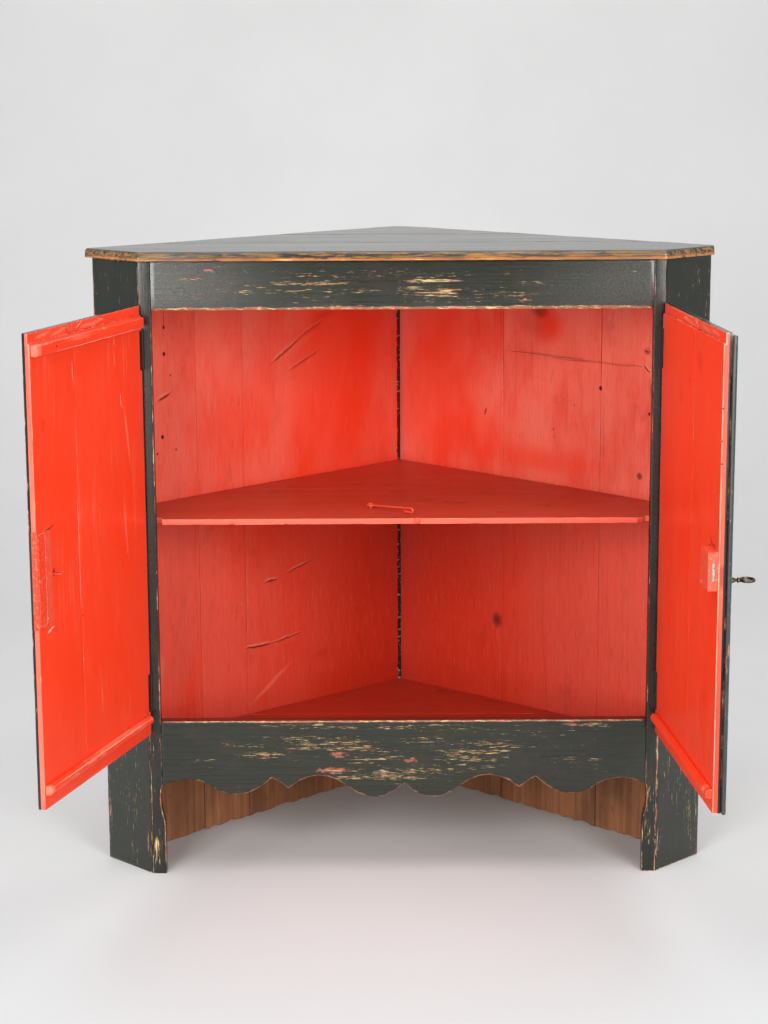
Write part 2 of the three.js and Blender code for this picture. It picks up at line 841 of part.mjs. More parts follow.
function keyhole(front, back) {
  const round = cylinder(keyShankRadius + fitGap, back - front);
  round.rotateX(Math.PI / 2);
  round.translate(keyU, (front + back) / 2, keyZ);
  const slotHalf = keyBitThickness / 2 + fitGap;
  return solid(round).add(block(
    [keyU - slotHalf, front, keyZ - keyBitReach - fitGap], [keyU + slotHalf, back, keyZ],
  ));
}

function escutcheon() {
  const plate = new THREE.Shape();
  plate.absellipse(
    0, -keyBitReach / 2, escutcheonWidth / 2, escutcheonHeight / 2, 0, 2 * Math.PI, false, 0,
  );
  const geometry = new THREE.ExtrudeGeometry(plate, {
    depth: escutcheonThickness, bevelEnabled: false, curveSegments: roundSegments,
  });
  geometry.rotateX(Math.PI / 2);
  geometry.translate(keyU, outerFace - fitGap, keyZ);
  return solid(geometry).subtract(keyhole(
    outerFace - escutcheonThickness - cutOverrun, outerFace + cutOverrun,
  ));
}

// Key, laid out along z with its bit at the bottom, then turned into the lock. The bit and the
// bow lie level when the bolt is drawn back; the bit points to the hinges.
function keyBody() {
  const tip = lockFace - lockWall - keyBitToPlate;
  const outside = outerFace - keyProjection;
  const length = tip - outside;
  const bowStart = length - keyBowLength;
  const collarGap = keyShankRadius * 1.2;
  const profile = [
    [0, 0], [keyShankRadius, 0],
    [keyShankRadius, bowStart - 4 * collarGap], [keyCollarRadius, bowStart - 3.5 * collarGap],
    [keyCollarRadius, bowStart - 3 * collarGap], [keyShankRadius * 0.8, bowStart - collarGap],
    [keyCollarRadius * 0.9, bowStart - collarGap / 2], [keyCollarRadius * 0.9, bowStart],
    [keyShankRadius * 0.8, bowStart + keyBowRadius], [0, bowStart + keyBowRadius],
  ].map(([x, y]) => new THREE.Vector2(x, y));
  const shank = new THREE.LatheGeometry(profile, roundSegments);
  const bow = new THREE.TorusGeometry(
    (keyBowLength - 2 * keyBowRadius) / 2, keyBowRadius, 8, fineSegments,
  );
  bow.scale((keyBowWidth - 2 * keyBowRadius) / (keyBowLength - 2 * keyBowRadius), 1, 1);
  bow.translate(0, bowStart + keyBowLength / 2, 0);
  const bit = new THREE.BoxGeometry(keyBitReach, keyBitLength, keyBitThickness);
  bit.translate(-keyBitReach / 2, keyBitLength / 2, 0);
  const body = geometryOf(solid(shank).add(solid(bow)).add(solid(bit)));
  body.rotateX(Math.PI);
  body.translate(0, tip, 0);
  return solid(body);
}

function astragal() {
  const back = outerFace - fitGap;
  const front = back - astragalThickness;
  const start = rightFreeEdge + astragalLap - astragalWidth;
  const end = rightFreeEdge + astragalLap;
  const plan = [
    [start, back], [start, front + astragalArris], [start + astragalArris, front],
    [end - astragalArris, front], [end, front + astragalArris], [end, back],
  ];
  return raised(plan, doorBottom, doorTop - astragalEndSetback);
}

function buildRightDoor() {
  const { group, addDoorPiece } = doorGroup(1, rightDoorAngle);
  let hingeBoard = doorBoard(hingeEdge, hingeEdge + rightBoardWidth);
  for (const [, centre] of hingeCentres()) hingeBoard = hingeBoard.subtract(leafRecess(centre));
  addDoorPiece('right_door_hinge_board', hingeBoard, 'red');
  addDoorPiece('right_door_meeting_board', doorBoard(
    hingeEdge + rightBoardWidth + doorBoardGap, rightFreeEdge,
  ).subtract(keyhole(outerFace - cutOverrun, innerFace + cutOverrun)), 'red');
  const { bottomBottom } = doorBattens();
  addDoorPiece('right_door_bottom_batten', roundBatten(
    battenStart, rightFreeEdge - battenEndInset, bottomBottom, bottomBattenHeight,
  ), 'red');
  addDoorPiece('astragal', astragal(), 'green');
  addDoorPiece('lock_case', lockCase(), 'redIron');
  addDoorPiece('lock_bolt', lockBolt(), 'redIron');
  addDoorPiece('escutcheon', escutcheon(), 'iron');

  const key = addDoorPiece('key', keyBody(), 'keySteel');
  key.position.set(-keyU, 0, keyZ);
  buildHinges(1, 'right', addDoorPiece);
  return group;
}

// Hook that lies on the shelf. It is long enough to drop over the staple of the shut left door.
const hookPivotY = frameThickness + fitGap + hookPivotSetback;
const hookSeatHeight = shelfHeightAt(hookPivotY);
const stapleX = leftFreeEdge - stapleSetback - pinX;
const stapleY = pinY + innerFace + stapleProjection;
const hookLength = Math.hypot(hookPivotX - stapleX, hookPivotY - stapleY) + hookBendRadius + hookRadius;

function hookBody() {
  const bendZ = hookTipRise - hookBendRadius;
  const bendX = hookLength - hookRadius - hookBendRadius;
  const path = new THREE.CurvePath();
  const start = new THREE.Vector3(hookEyeRadius, 0, hookEyeRise);
  const bendTop = new THREE.Vector3(bendX, 0, hookTipRise);
  const bendEnd = new THREE.Vector3(bendX, 0, hookTipRise - 2 * hookBendRadius);
  const tip = new THREE.Vector3(bendX - hookReturn, 0, hookTipRise - 2 * hookBendRadius);
  path.add(new THREE.LineCurve3(start, bendTop));
  const bend = new THREE.CurvePath();
  const arcPoints = Array.from({ length: curveSegments + 1 }, (_, step) => {
    const angle = Math.PI / 2 - Math.PI * step / curveSegments;
    return new THREE.Vector3(
      bendX + hookBendRadius * Math.cos(angle), 0, bendZ + hookBendRadius * Math.sin(angle),
    );
  });
  bend.add(new THREE.CatmullRomCurve3(arcPoints));
  const section = new THREE.Shape();
  section.absarc(0, 0, hookRadius, 0, 2 * Math.PI, false);
  const tube = (curve, steps) => solid(new THREE.ExtrudeGeometry(section, {
    steps, extrudePath: curve, curveSegments: 4, bevelEnabled: false,
  }));
  const joint = (place) => ball(hookRadius * 1.02, place.toArray());
  const eye = new THREE.TorusGeometry(hookEyeRadius, hookRadius, 8, roundSegments);
  eye.translate(0, 0, hookEyeRise);
  return solid(eye)
    .add(tube(new THREE.LineCurve3(start, bendTop), 1))
    .add(tube(bend, 2 * curveSegments))
    .add(tube(new THREE.LineCurve3(bendEnd, tip), 1))
    .add(joint(bendTop)).add(joint(bendEnd));
}

function hookPin() {
  const seat = hookEyeRise + hookRadius + fitGap;
  const profile = [
    [0, -hookPinDepth], [hookPinRadius, -hookPinDepth], [hookPinRadius, seat],
    [hookPinHeadRadius, seat], [hookPinHeadRadius, seat + hookPinHeadHeight / 2],
    [hookPinHeadRadius / 2, seat + hookPinHeadHeight], [0, seat + hookPinHeadHeight],
  ].map(([x, y]) => new THREE.Vector2(x, y));
  const geometry = new THREE.LatheGeometry(profile, roundSegments);
  geometry.rotateX(Math.PI / 2);
  return solid(geometry);
}

function buildHook() {
  const place = [hookPivotX, hookPivotY, hookSeatHeight];
  addPiece('hook_pin', hookPin(), 'redIron').position.set(...place);
  const hook = addPiece('shelf_hook', hookBody(), 'redIron');
  hook.position.set(...place);
  hook.rotation.z = THREE.MathUtils.degToRad(hookRestAngle);
}

buildFrame();
buildRails();
buildBacks();
buildTop();
buildBoards();
buildCleats();
buildLeftDoor();
buildRightDoor();
buildHook();

export default cupboard;
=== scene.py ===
import json
import math
import random

import bmesh
import bpy
from mathutils import Matrix, Vector, noise
from mathutils.bvhtree import BVHTree

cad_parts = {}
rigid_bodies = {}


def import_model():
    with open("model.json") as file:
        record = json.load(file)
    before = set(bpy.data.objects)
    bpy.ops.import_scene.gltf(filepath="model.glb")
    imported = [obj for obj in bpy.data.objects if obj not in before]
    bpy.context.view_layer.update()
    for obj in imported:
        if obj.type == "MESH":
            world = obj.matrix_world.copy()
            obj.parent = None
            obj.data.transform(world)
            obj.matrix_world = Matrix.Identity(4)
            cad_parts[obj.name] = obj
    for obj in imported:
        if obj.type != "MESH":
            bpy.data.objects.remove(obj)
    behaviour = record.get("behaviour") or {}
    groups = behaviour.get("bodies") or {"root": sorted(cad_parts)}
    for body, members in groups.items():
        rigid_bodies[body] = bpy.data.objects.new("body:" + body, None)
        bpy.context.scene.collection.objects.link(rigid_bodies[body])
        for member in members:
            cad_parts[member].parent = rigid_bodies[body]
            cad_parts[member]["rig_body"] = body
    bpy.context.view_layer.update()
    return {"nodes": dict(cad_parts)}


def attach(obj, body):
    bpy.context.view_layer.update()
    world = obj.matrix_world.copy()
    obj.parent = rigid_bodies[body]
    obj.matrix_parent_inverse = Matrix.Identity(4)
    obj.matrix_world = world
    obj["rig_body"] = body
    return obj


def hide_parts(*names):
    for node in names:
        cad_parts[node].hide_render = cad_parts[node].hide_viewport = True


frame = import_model()
scene = bpy.context.scene
print("frame loaded:", len(frame["nodes"]), "CAD nodes")


# paint and timber finishes
class Finish:
    # a short way to wire one Principled material
    def __init__(self, name, **sockets):
        self.material = bpy.data.materials.new(name)
        self.material.use_nodes = True
        self.tree = self.material.node_tree
        self.tree.nodes.clear()
        self.shader = self.node("BsdfPrincipled", sockets)
        output = self.node("OutputMaterial")
        self.tree.links.new(self.shader.outputs[0], output.inputs[0])

    def node(self, kind, sockets=None, **settings):
        made = self.tree.nodes.new("ShaderNode" + kind)
        for key, value in settings.items():
            setattr(made, key, value)
        for socket, value in (sockets or {}).items():
            self.put(made.inputs[socket], value)
        return made

    def put(self, socket, value):
        if isinstance(value, bpy.types.NodeSocket):
            self.tree.links.new(value, socket)
        elif hasattr(socket.default_value, "__len__") and len(socket.default_value) == 4:
            socket.default_value = (*value, 1.0)
        else:
            socket.default_value = value

    def along(self, stretch=(1, 1, 1), shift=(0, 0, 0)):
        # grain coordinates in metres: x across the grain, y along it, z through the board
        grain = self.node("Attribute", attribute_name="grain")
        sockets = {"Vector": grain.outputs["Vector"], "Scale": stretch, "Location": shift}
        return self.node("Mapping", sockets).outputs[0]

    def rub(self):
        return self.node("Attribute", attribute_name="rub").outputs["Fac"]

    def cloud(self, where, scale, detail=3.0, rough=0.55, twist=0.0):
        sockets = {"Vector": where, "Scale": scale, "Detail": detail, "Roughness": rough, "Distortion": twist}
        return self.node("TexNoise", sockets).outputs["Fac"]

    def grain(self, length, scale, detail=3.0, rough=0.55, twist=0.0, shift=(0, 0, 0)):
        # noise that a small length draws out along the grain
        return self.cloud(self.along((1, length, 1), shift), scale, detail, rough, twist)

    def axis(self, index):
        # one grain coordinate: 0 across the grain, 1 along it
        return self.node("SeparateXYZ", {0: self.along()}).outputs[index]

    def cut(self, value, low, high, bottom=0.0, top=1.0):
        sockets = {"Value": value, "From Min": low, "From Max": high, "To Min": bottom, "To Max": top}
        return self.node("MapRange", sockets, interpolation_type="SMOOTHSTEP").outputs[0]

    def sum(self, kind, first, second, clamp=True):
        clamp = clamp and kind != "ADD"
        return self.node("Math", {0: first, 1: second}, operation=kind, use_clamp=clamp).outputs[0]

    def both(self, *masks):
        result = masks[0]
        for mask in masks[1:]:
            result = self.sum("MULTIPLY", result, mask)
        return result

    def either(self, *masks):
        result = masks[0]
        for mask in masks[1:]:
            result = self.sum("MAXIMUM", result, mask)
        return result

    def blend(self, share, below, above):
        mix = self.node("Mix", data_type="RGBA")
        self.put(mix.inputs[0], share)
        self.put(mix.inputs[6], below)
        self.put(mix.inputs[7], above)
        return mix.outputs[2]

    def over(self, colour, tint, *masks):
        return self.blend(self.both(*masks), colour, tint)

    def spot(self, across, along, halfAcross, halfAlong, turn=0.0, edge=0.35, wobble=None, square=False):
        # a soft-edged oval or box at a place on the board, in grain coordinates
        grain = self.node("Attribute", attribute_name="grain").outputs["Vector"]
        moved = self.node("VectorMath", {0: grain, 1: (across, along, 0)}, operation="SUBTRACT").outputs[0]
        if wobble is not None:
            moved = self.node("VectorMath", {0: moved, 1: wobble}, operation="ADD").outputs[0]
        if turn:
            turned = self.node("VectorRotate", {"Vector": moved, "Angle": turn}, rotation_type="Z_AXIS")
            moved = turned.outputs[0]
        size = (1 / halfAcross, 1 / halfAlong, 0)
        scaled = self.node("VectorMath", {0: moved, 1: size}, operation="MULTIPLY")
        if square:
            size = self.node("VectorMath", {0: scaled.outputs[0]}, operation="ABSOLUTE").outputs[0]
            parts = self.node("SeparateXYZ", {0: size})
            length = self.sum("MAXIMUM", parts.outputs[0], parts.outputs[1], False)
        else:
            length = self.node("VectorMath", {0: scaled.outputs[0]}, operation="LENGTH").outputs["Value"]
        return self.cut(length, 1.0 + edge, 1.0 - edge)

    def wander(self, scale, size):
        # a small vector noise that roughens the outline of spots
        cloud = self.node("TexNoise", {"Vector": self.along(), "Scale": scale, "Detail": 3.0})
        noiseColour = cloud.outputs["Color"]
        centred = self.node("VectorMath", {0: noiseColour, 1: (0.5, 0.5, 0.5)}, operation="SUBTRACT")
        return self.node("VectorMath", {0: centred.outputs[0], "Scale": size}, operation="SCALE").outputs[0]

    def relief(self, height, distance, strength=1.0, under=None):
        bump = self.node("Bump", {"Height": height, "Distance": distance, "Strength": strength})
        if under is not None:
            self.put(bump.inputs["Normal"], under)
        return bump.outputs[0]

    def finish(self, colour, roughness, normal=None):
        self.put(self.shader.inputs["Base Color"], colour)
        self.put(self.shader.inputs["Roughness"], roughness)
        if normal is not None:
            self.put(self.shader.inputs["Normal"], normal)
        return self.material


pineRings = {"length": 0.022, "scale": 150, "twist": 0.5}


def ringLines(paint):
    # late-wood lines of pine, long along the grain
    return paint.grain(pineRings["length"], pineRings["scale"], 3.0, 0.6, pineRings["twist"])


greenLook = {
    "dark": (0.0105, 0.013, 0.0085), "light": (0.022, 0.025, 0.0165), "cream": (0.6, 0.47, 0.21),
    "ochre": (0.12, 0.085, 0.035), "salmon": (0.36, 0.105, 0.06), "brown": (0.03, 0.022, 0.016),
    "edgeWood": (0.22, 0.095, 0.052), "haze": (0.1, 0.104, 0.096), "edgeDull": (0.115, 0.052, 0.032),
}


greenWear = {"edge": 0.5, "general": 0.25, "edgeFrom": None, "dullFrom": None, "sheen": (0.19, 0.42)}


def greenPaint(name, places=(), patches=(), look=greenLook, sheenSpots=(), **changes):
    # places: across, along, halfAcross, halfAlong, share of paint lost to small flecks
    wear = dict(greenWear, **changes)
    paint = Finish(name)
    rings = ringLines(paint)
    strokes = paint.grain(0.03, 330, 4.0, 0.65)
    mottle = paint.grain(0.6, 26, 5.0, 0.65)
    colour = paint.blend(paint.cut(strokes, 0.22, 0.85), look["dark"], look["light"])
    colour = paint.over(colour, look["brown"], paint.cut(mottle, 0.48, 0.7), 0.6)
    for place in sheenSpots:
        # a painted sheen: the lamps' silvery reflection painted onto the paint, broken up by the grain
        sheenBreakup = paint.cut(paint.grain(0.5, 560, 4.0, 0.7, shift=(3, 3, 0)), 0.36, 0.64, 0.25, 1.0)
        colour = paint.over(colour, look["haze"], paint.spot(*place[:4], edge=0.9), sheenBreakup, place[4])

    # paint lost to the raised grain: rows of small flecks, denser at named places
    rows = paint.cut(paint.grain(0.04, 190, 2.0, 0.5, shift=(0.3, 0, 0)), 0.4, 0.58)
    cluster = paint.cut(paint.grain(0.35, 14, 3.0, 0.6, shift=(0, 4, 0)), 0.5, 0.66)
    worn = [paint.both(cluster, wear["general"])]
    worn += [paint.both(paint.spot(*place[:4], edge=0.6), place[4]) for place in places]
    worn = paint.both(paint.either(*worn), paint.cut(rows, 0.0, 1.0, 0.45, 1.0))
    needed = paint.sum("SUBTRACT", 0.772, paint.both(worn, 0.268))
    fleck = paint.grain(0.045, 1050, 3.0, 0.62)
    creamLoss = paint.cut(paint.sum("SUBTRACT", fleck, needed), 0.0, 0.025)
    salmonFleck = paint.grain(0.12, 420, 4.0, 0.64, shift=(2, 3, 1))
    salmonLoss = paint.cut(paint.sum("SUBTRACT", salmonFleck, paint.sum("ADD", needed, 0.015)), 0.0, 0.03)
    thin = paint.cut(paint.sum("SUBTRACT", fleck, paint.sum("SUBTRACT", needed, 0.05)), 0.0, 0.05)
    wobble = paint.wander(110, 0.014)
    for patch in patches:
        ragged = paint.both(paint.spot(*patch, edge=0.4, wobble=wobble), paint.cut(salmonFleck, 0.44, 0.5))
        salmonLoss = paint.either(salmonLoss, ragged)

    # the arrises: an uneven chipped band, salmon undercoat and wood with cream crumbs
    bite = paint.grain(0.22, 130, 5.0, 0.62, shift=(5, 0, 2))
    long = paint.cloud(paint.along((0.2, 0.5, 1), (7, 0, 2)), 9.0, 2.0, 0.5)
    amount = paint.cut(long, 0.36, 0.6, wear["edge"] - 0.22, wear["edge"])
    if wear["edgeFrom"]:
        amount = paint.both(amount, paint.cut(paint.axis(1), *wear["edgeFrom"], 0.72, 1.0))
    if wear["dullFrom"]:
        amount = paint.both(amount, paint.cut(paint.axis(0), *wear["dullFrom"], 1.0, 0.52))
    edgeLoss = paint.cut(paint.sum("ADD", paint.both(paint.rub(), amount), paint.both(bite, 1.0)), 0.86, 0.91)
    crumbs = paint.cut(paint.grain(0.22, 420, 3.0, 0.6, shift=(1, 8, 0)), 0.55, 0.6)
    edgeColour = paint.blend(paint.cut(bite, 0.48, 0.62), look["edgeWood"], look["salmon"])
    edgeColour = paint.over(edgeColour, look["cream"], crumbs, 0.8)
    if wear["dullFrom"]:
        # the sawn lower edge is only rubbed brown
        below = paint.cut(paint.axis(0), *wear["dullFrom"])
        edgeColour = paint.over(edgeColour, look["edgeDull"], below, 0.6)

    colour = paint.over(colour, look["ochre"], thin, 0.6)
    colour = paint.over(colour, look["salmon"], salmonLoss, 0.9)
    colour = paint.over(colour, look["cream"], creamLoss, 0.92)
    colour = paint.over(colour, edgeColour, edgeLoss, 0.92)
    bare = paint.either(creamLoss, salmonLoss, edgeLoss)
    peel = paint.grain(0.4, 300, 3.0, 0.6)
    gloss = paint.sum("ADD", paint.both(bare, 0.5), paint.both(peel, 0.5))
    normal = paint.relief(rings, 0.00045, 0.5)
    normal = paint.relief(strokes, 0.0003, 0.5, normal)
    normal = paint.relief(peel, 0.00022, 0.45, normal)
    normal = paint.relief(paint.sum("SUBTRACT", 1.0, bare), 0.00025, 0.9, normal)
    return paint.finish(colour, paint.cut(gloss, 0.1, 0.9, *wear["sheen"]), normal)


redLook = {
    "fresh": (0.87, 0.04, 0.007), "faded": (0.84, 0.055, 0.018), "deep": (0.5, 0.018, 0.005),
    "maroon": (0.115, 0.016, 0.01), "pink": (0.8, 0.2, 0.12), "cream": (0.86, 0.5, 0.36),
    "hole": (0.014, 0.008, 0.007), "worn": (0.55, 0.13, 0.08), "bloom": (0.8, 0.2, 0.14),
    "daylight": (0.6, 0.54, 0.5),
}
redWear = {
    "fresh": 0.5, "fadeAt": (0.42, 0.6), "streaks": 0.3, "rings": 0.3, "dirt": 0.4, "scuffs": 0.3,
    "chalk": 0.0, "edgePink": 0.0, "sheen": (0.34, 0.48), "rippled": 0.5, "toothed": 0.1,
    "toCorner": 0.0, "low": 0.0, "high": 0.0, "cornerGap": False,  # inside walls only
}
markKinds = {
    # the tint, how soft the outline is, whether it wanders
    "knot": ("maroon", 0.5, True), "dark": ("deep", 0.9, True), "worn": ("pink", 0.6, True),
    "fresh": ("fresh", 0.95, False), "pale": ("cream", 0.3, True), "cut": ("maroon", 0.3, True),
    "scar": ("maroon", 0.3, True), "hole": ("hole", 0.3, False), "line": ("hole", 0.3, False),
    "ray": ("cream", 0.3, False), "rough": ("worn", 0.3, False), "slot": ("maroon", 0.3, False),
}


def redMarks(paint, colour, marks, look, tooth):
    # marks: kind, across, along, halfAcross, halfAlong, turn, share
    wander = paint.wander(70, 0.006)
    depth, lift = [], []
    for kind, across, along, halfAcross, halfAlong, turn, share in marks:
        tint, soft, wanders = markKinds[kind]
        outline, square = wander if wanders else None, kind in ("rough", "slot")
        place = paint.spot(across, along, halfAcross, halfAlong, turn, soft, outline, square)
        if kind == "rough":
            place = paint.both(place, paint.cut(paint.grain(0.5, 380, 4.0, 0.7, shift=(3, 3, 3)), 0.42, 0.56))
        place = paint.both(place, share)
        if kind == "scar":
            # a torn groove with a pale raised lip above it: the groove's dark is partly painted shade, the
            # lip's pink partly a painted highlight
            above = along + 1.9 * halfAlong
            lip = paint.spot(across, above, halfAcross * 0.92, halfAlong * 1.6, turn, 0.6, wander)
            lift.append(lip)
            colour = paint.over(colour, look["pink"], lip, share, paint.cut(tooth, 0.38, 0.52, 0.3, 0.8))
        colour = paint.blend(place, colour, look[tint])
        if kind in ("cut", "knot", "scar"):
            depth.append(place)
    return colour, depth, lift


def cornerJoint(paint, colour, look):
    # the open joint in the corner: a painted shadow line that comes and goes, with painted specks of daylight
    # in it
    wave = paint.cloud(paint.along((0, 1, 0)), 42, 4.0, 0.7)
    reach = paint.sum("ADD", paint.axis(0), paint.cut(wave, 0.35, 0.6, 0.0, 0.0022))
    gapShadow = paint.cut(reach, 0.0223, 0.0216)
    light = paint.cut(paint.cloud(paint.along((0.3, 1, 0), (0, 3, 0)), 230, 3.0, 0.6), 0.57, 0.62)
    colour = paint.blend(gapShadow, colour, look["hole"])
    return paint.over(colour, look["daylight"], gapShadow, light, 0.6)


def redPaint(name, marks=(), look=redLook, **changes):
    wear = dict(redWear, **changes)
    paint = Finish(name)
    growth = ringLines(paint)
    brush = paint.grain(0.012, 260, 4.0, 0.65)
    coat = paint.grain(0.38, 7.5, 4.0, 0.6, 0.5)
    cover = paint.sum("ADD", paint.both(coat, 0.8), paint.both(brush, 0.2))
    if wear["toCorner"]:
        # the paint is fresher and deeper towards the corner and paler outward: partly fading where hands and
        # light reached, partly a painted sheen on the outer parts
        outward = paint.cut(paint.axis(0), 0.0, 0.55, wear["toCorner"], -wear["toCorner"])
        cover = paint.sum("ADD", cover, outward)
    cover = paint.cut(cover, *wear["fadeAt"])
    colour = paint.blend(paint.both(cover, wear["fresh"]), look["faded"], look["fresh"])
    lines = paint.either(paint.both(paint.cut(brush, 0.5, 0.74), wear["streaks"]),
                         paint.both(paint.cut(growth, 0.55, 0.7), wear["rings"]))
    colour = paint.blend(lines, colour, look["deep"])
    if wear["low"]:
        # below the shelf the colour is deeper towards the corner: painted shade
        below, inward = paint.cut(paint.axis(1), 0.585, 0.56), paint.cut(paint.axis(0), 0.62, 0.06)
        colour = paint.over(colour, look["deep"], below, inward, wear["low"])
    if wear["high"]:
        # above the shelf the paint is pinker and paler: partly chalky paint, partly a painted sheen
        bloom = paint.cut(paint.grain(0.4, 13, 5.0, 0.65, shift=(8, 8, 2)), 0.3, 0.66)
        colour = paint.over(colour, look["bloom"], paint.cut(paint.axis(1), 0.572, 0.6), bloom, wear["high"])
    # short brush marks and raised grain in the surface of the paint
    tooth = paint.grain(0.07, 400, 4.0, 0.68, shift=(0, 2, 5))
    colour = paint.over(colour, look["deep"], paint.cut(tooth, 0.52, 0.72), wear["toothed"])
    colour = paint.over(colour, look["pink"], paint.cut(tooth, 0.46, 0.28), wear["toothed"] * 0.6)
    if wear["chalk"]:
        # pale streaks left by the brush and by rubbing
        fine = paint.cut(paint.grain(0.01, 420, 3.0, 0.6, shift=(1, 1, 0)), 0.5, 0.68)
        wide = paint.cut(paint.grain(0.35, 17, 3.0, 0.6, shift=(6, 2, 0)), 0.46, 0.66)
        colour = paint.over(colour, look["pink"], fine, wide, wear["chalk"])
    grime = paint.both(paint.cut(paint.grain(0.5, 20, 7.0, 0.72, 0.4, (3, 5, 1)), 0.56, 0.74),
                       paint.cut(paint.grain(0.6, 5.0, 2.0, shift=(2, 0, 4)), 0.42, 0.62), wear["dirt"])
    colour = paint.blend(grime, colour, look["maroon"])
    speck = paint.cut(paint.grain(0.7, 210, 2.0, 0.5, shift=(0, 7, 0)), 0.775, 0.8)
    colour = paint.over(colour, look["maroon"], speck, 0.7)
    scuff = paint.cut(paint.grain(0.35, 170, 6.0, 0.7, 0.3, (9, 1, 3)), 0.64, 0.72)
    patchy = paint.cut(paint.grain(1, 8.0, 2.0, shift=(4, 4, 4)), 0.44, 0.62)
    colour = paint.over(colour, look["pink"], scuff, patchy, wear["scuffs"])
    colour, depth, lift = redMarks(paint, colour, marks, look, tooth)
    if wear["cornerGap"]:
        colour = cornerJoint(paint, colour, look)

    normal = paint.relief(growth, 0.0005, 0.4)
    normal = paint.relief(brush, 0.0003, 0.45, normal)
    normal = paint.relief(tooth, 0.00025, 0.55, normal)
    normal = paint.relief(paint.grain(0.5, 34, 3.0, 0.55, shift=(6, 6, 6)), 0.0009, wear["rippled"], normal)
    if depth:
        height = paint.sum("SUBTRACT", 1.0, paint.either(*depth))
        if lift:
            height = paint.sum("ADD", height, paint.either(*lift))
        normal = paint.relief(height, 0.0016, 0.8, normal)
    if wear["edgePink"]:
        rough = paint.grain(0.25, 110, 4.0, 0.65)
        edgeLoss = paint.cut(paint.sum("ADD", paint.both(paint.rub(), wear["edgePink"]), rough), 0.96, 1.1)
        colour = paint.blend(edgeLoss, colour, look["pink"])
    gloss = paint.sum("ADD", paint.both(brush, 0.6), paint.both(grime, 0.6))
    return paint.finish(colour, paint.cut(gloss, 0.1, 0.8, *wear["sheen"]), normal)


woodLook = {
    "pale": (0.33, 0.13, 0.05), "mid": (0.21, 0.075, 0.026), "dark": (0.03, 0.011, 0.005),
    "grey": (0.17, 0.12, 0.08), "light": (0.42, 0.2, 0.09),
}


def bareWood(name, grey=0.2, darkness=0.5, look=woodLook, joints=()):
    wood = Finish(name)
    rings = ringLines(wood)
    streak = wood.grain(0.03, 90, 5.0, 0.65, 0.3, shift=(2, 0, 0))
    broad = wood.grain(0.5, 12, 4.0, 0.6)
    colour = wood.blend(wood.cut(streak, 0.32, 0.68), look["pale"], look["mid"])
    colour = wood.over(colour, look["dark"], wood.cut(rings, 0.52, 0.68), 0.32)
    colour = wood.over(colour, look["dark"], wood.cut(broad, 0.42, 0.7), darkness)
    colour = wood.over(colour, look["grey"], wood.cut(streak, 0.55, 0.75), grey)
    stain = wood.cut(wood.grain(0.4, 45, 6.0, 0.7, shift=(5, 2, 7)), 0.58, 0.74)
    colour = wood.over(colour, look["dark"], stain, 0.7)
    lighter = wood.cut(wood.grain(0.1, 260, 5.0, 0.7, shift=(1, 2, 3)), 0.64, 0.74)
    colour = wood.over(colour, look["light"], lighter, 0.5)
    for joint in joints:
        colour = wood.over(colour, look["dark"], wood.spot(joint, 0.5, 0.0011, 0.8), 0.95)
    normal = wood.relief(rings, 0.0007, 0.6)
    return wood.finish(colour, wood.cut(streak, 0.3, 0.7, 0.55, 0.85), normal)


topLook = {
    "dark": (0.02, 0.022, 0.021), "light": (0.06, 0.058, 0.052), "wood": (0.08, 0.042, 0.017),
    "ochre": (0.32, 0.15, 0.03), "cream": (0.58, 0.38, 0.16), "salmon": (0.44, 0.16, 0.05),
}


def topPaint(name, edge=False, look=topLook):
    paint = Finish(name)
    rings = ringLines(paint)
    streak = paint.grain(0.02, 150, 5.0, 0.68)
    broad = paint.grain(0.3, 11, 4.0, 0.65)
    colour = paint.blend(paint.cut(streak, 0.38, 0.64), look["dark"], look["light"])
    wear = paint.cut(paint.sum("ADD", paint.both(broad, 0.7), paint.both(streak, 0.6)), 0.66, 0.86)
    colour = paint.over(colour, look["wood"], wear, 0.9 if edge else 0.4)
    if edge:
        # the rounded edge is rubbed to ochre, its lower arris to salmon and cream
        height = paint.node("SeparateXYZ", {0: paint.node("TexCoord").outputs["Object"]}).outputs[2]
        uneven = paint.grain(0.1, 190, 5.0, 0.7, shift=(0, 3, 0))
        long = paint.cloud(paint.along((0, 1, 0), (0, 2, 0)), 5.0, 3.0, 0.6)
        below = paint.cut(height, 0.9994, 0.9966, 0.1, 1.0)
        ochre = paint.both(paint.cut(uneven, 0.42, 0.58), paint.cut(long, 0.4, 0.6, 0.55, 1.0), below)
        colour = paint.over(colour, look["ochre"], ochre, 0.9)
        lowered = paint.sum("ADD", height, paint.cut(uneven, 0.3, 0.7, -0.0012, 0.0012))
        low = paint.cut(lowered, 0.9908, 0.9895)
        lowTone = paint.blend(paint.cut(uneven, 0.55, 0.62), look["salmon"], look["cream"])
        colour = paint.blend(paint.both(low, paint.cut(long, 0.34, 0.56, 0.3, 0.85)), colour, lowTone)
        crumbs = paint.cut(paint.grain(0.12, 380, 4.0, 0.7, shift=(8, 3, 1)), 0.67, 0.72)
        colour = paint.over(colour, look["cream"], crumbs, 0.7)
        nick = paint.cut(paint.grain(0.3, 90, 4.0, 0.6, shift=(4, 0, 0)), 0.6, 0.66)
        colour = paint.over(colour, look["dark"], nick, 0.85)
    rub = paint.cut(paint.sum("ADD", paint.both(paint.rub(), 0.45), paint.grain(0.2, 180, 4.0)), 0.93, 1.05)
    colour = paint.blend(rub, colour, look["wood"])
    roughness = paint.cut(streak, 0.3, 0.7, 0.15, 0.27)
    normal = paint.relief(rings, 0.0003, 0.25)
    normal = paint.relief(streak, 0.0003, 0.4, normal)
    return paint.finish(colour, roughness, normal)


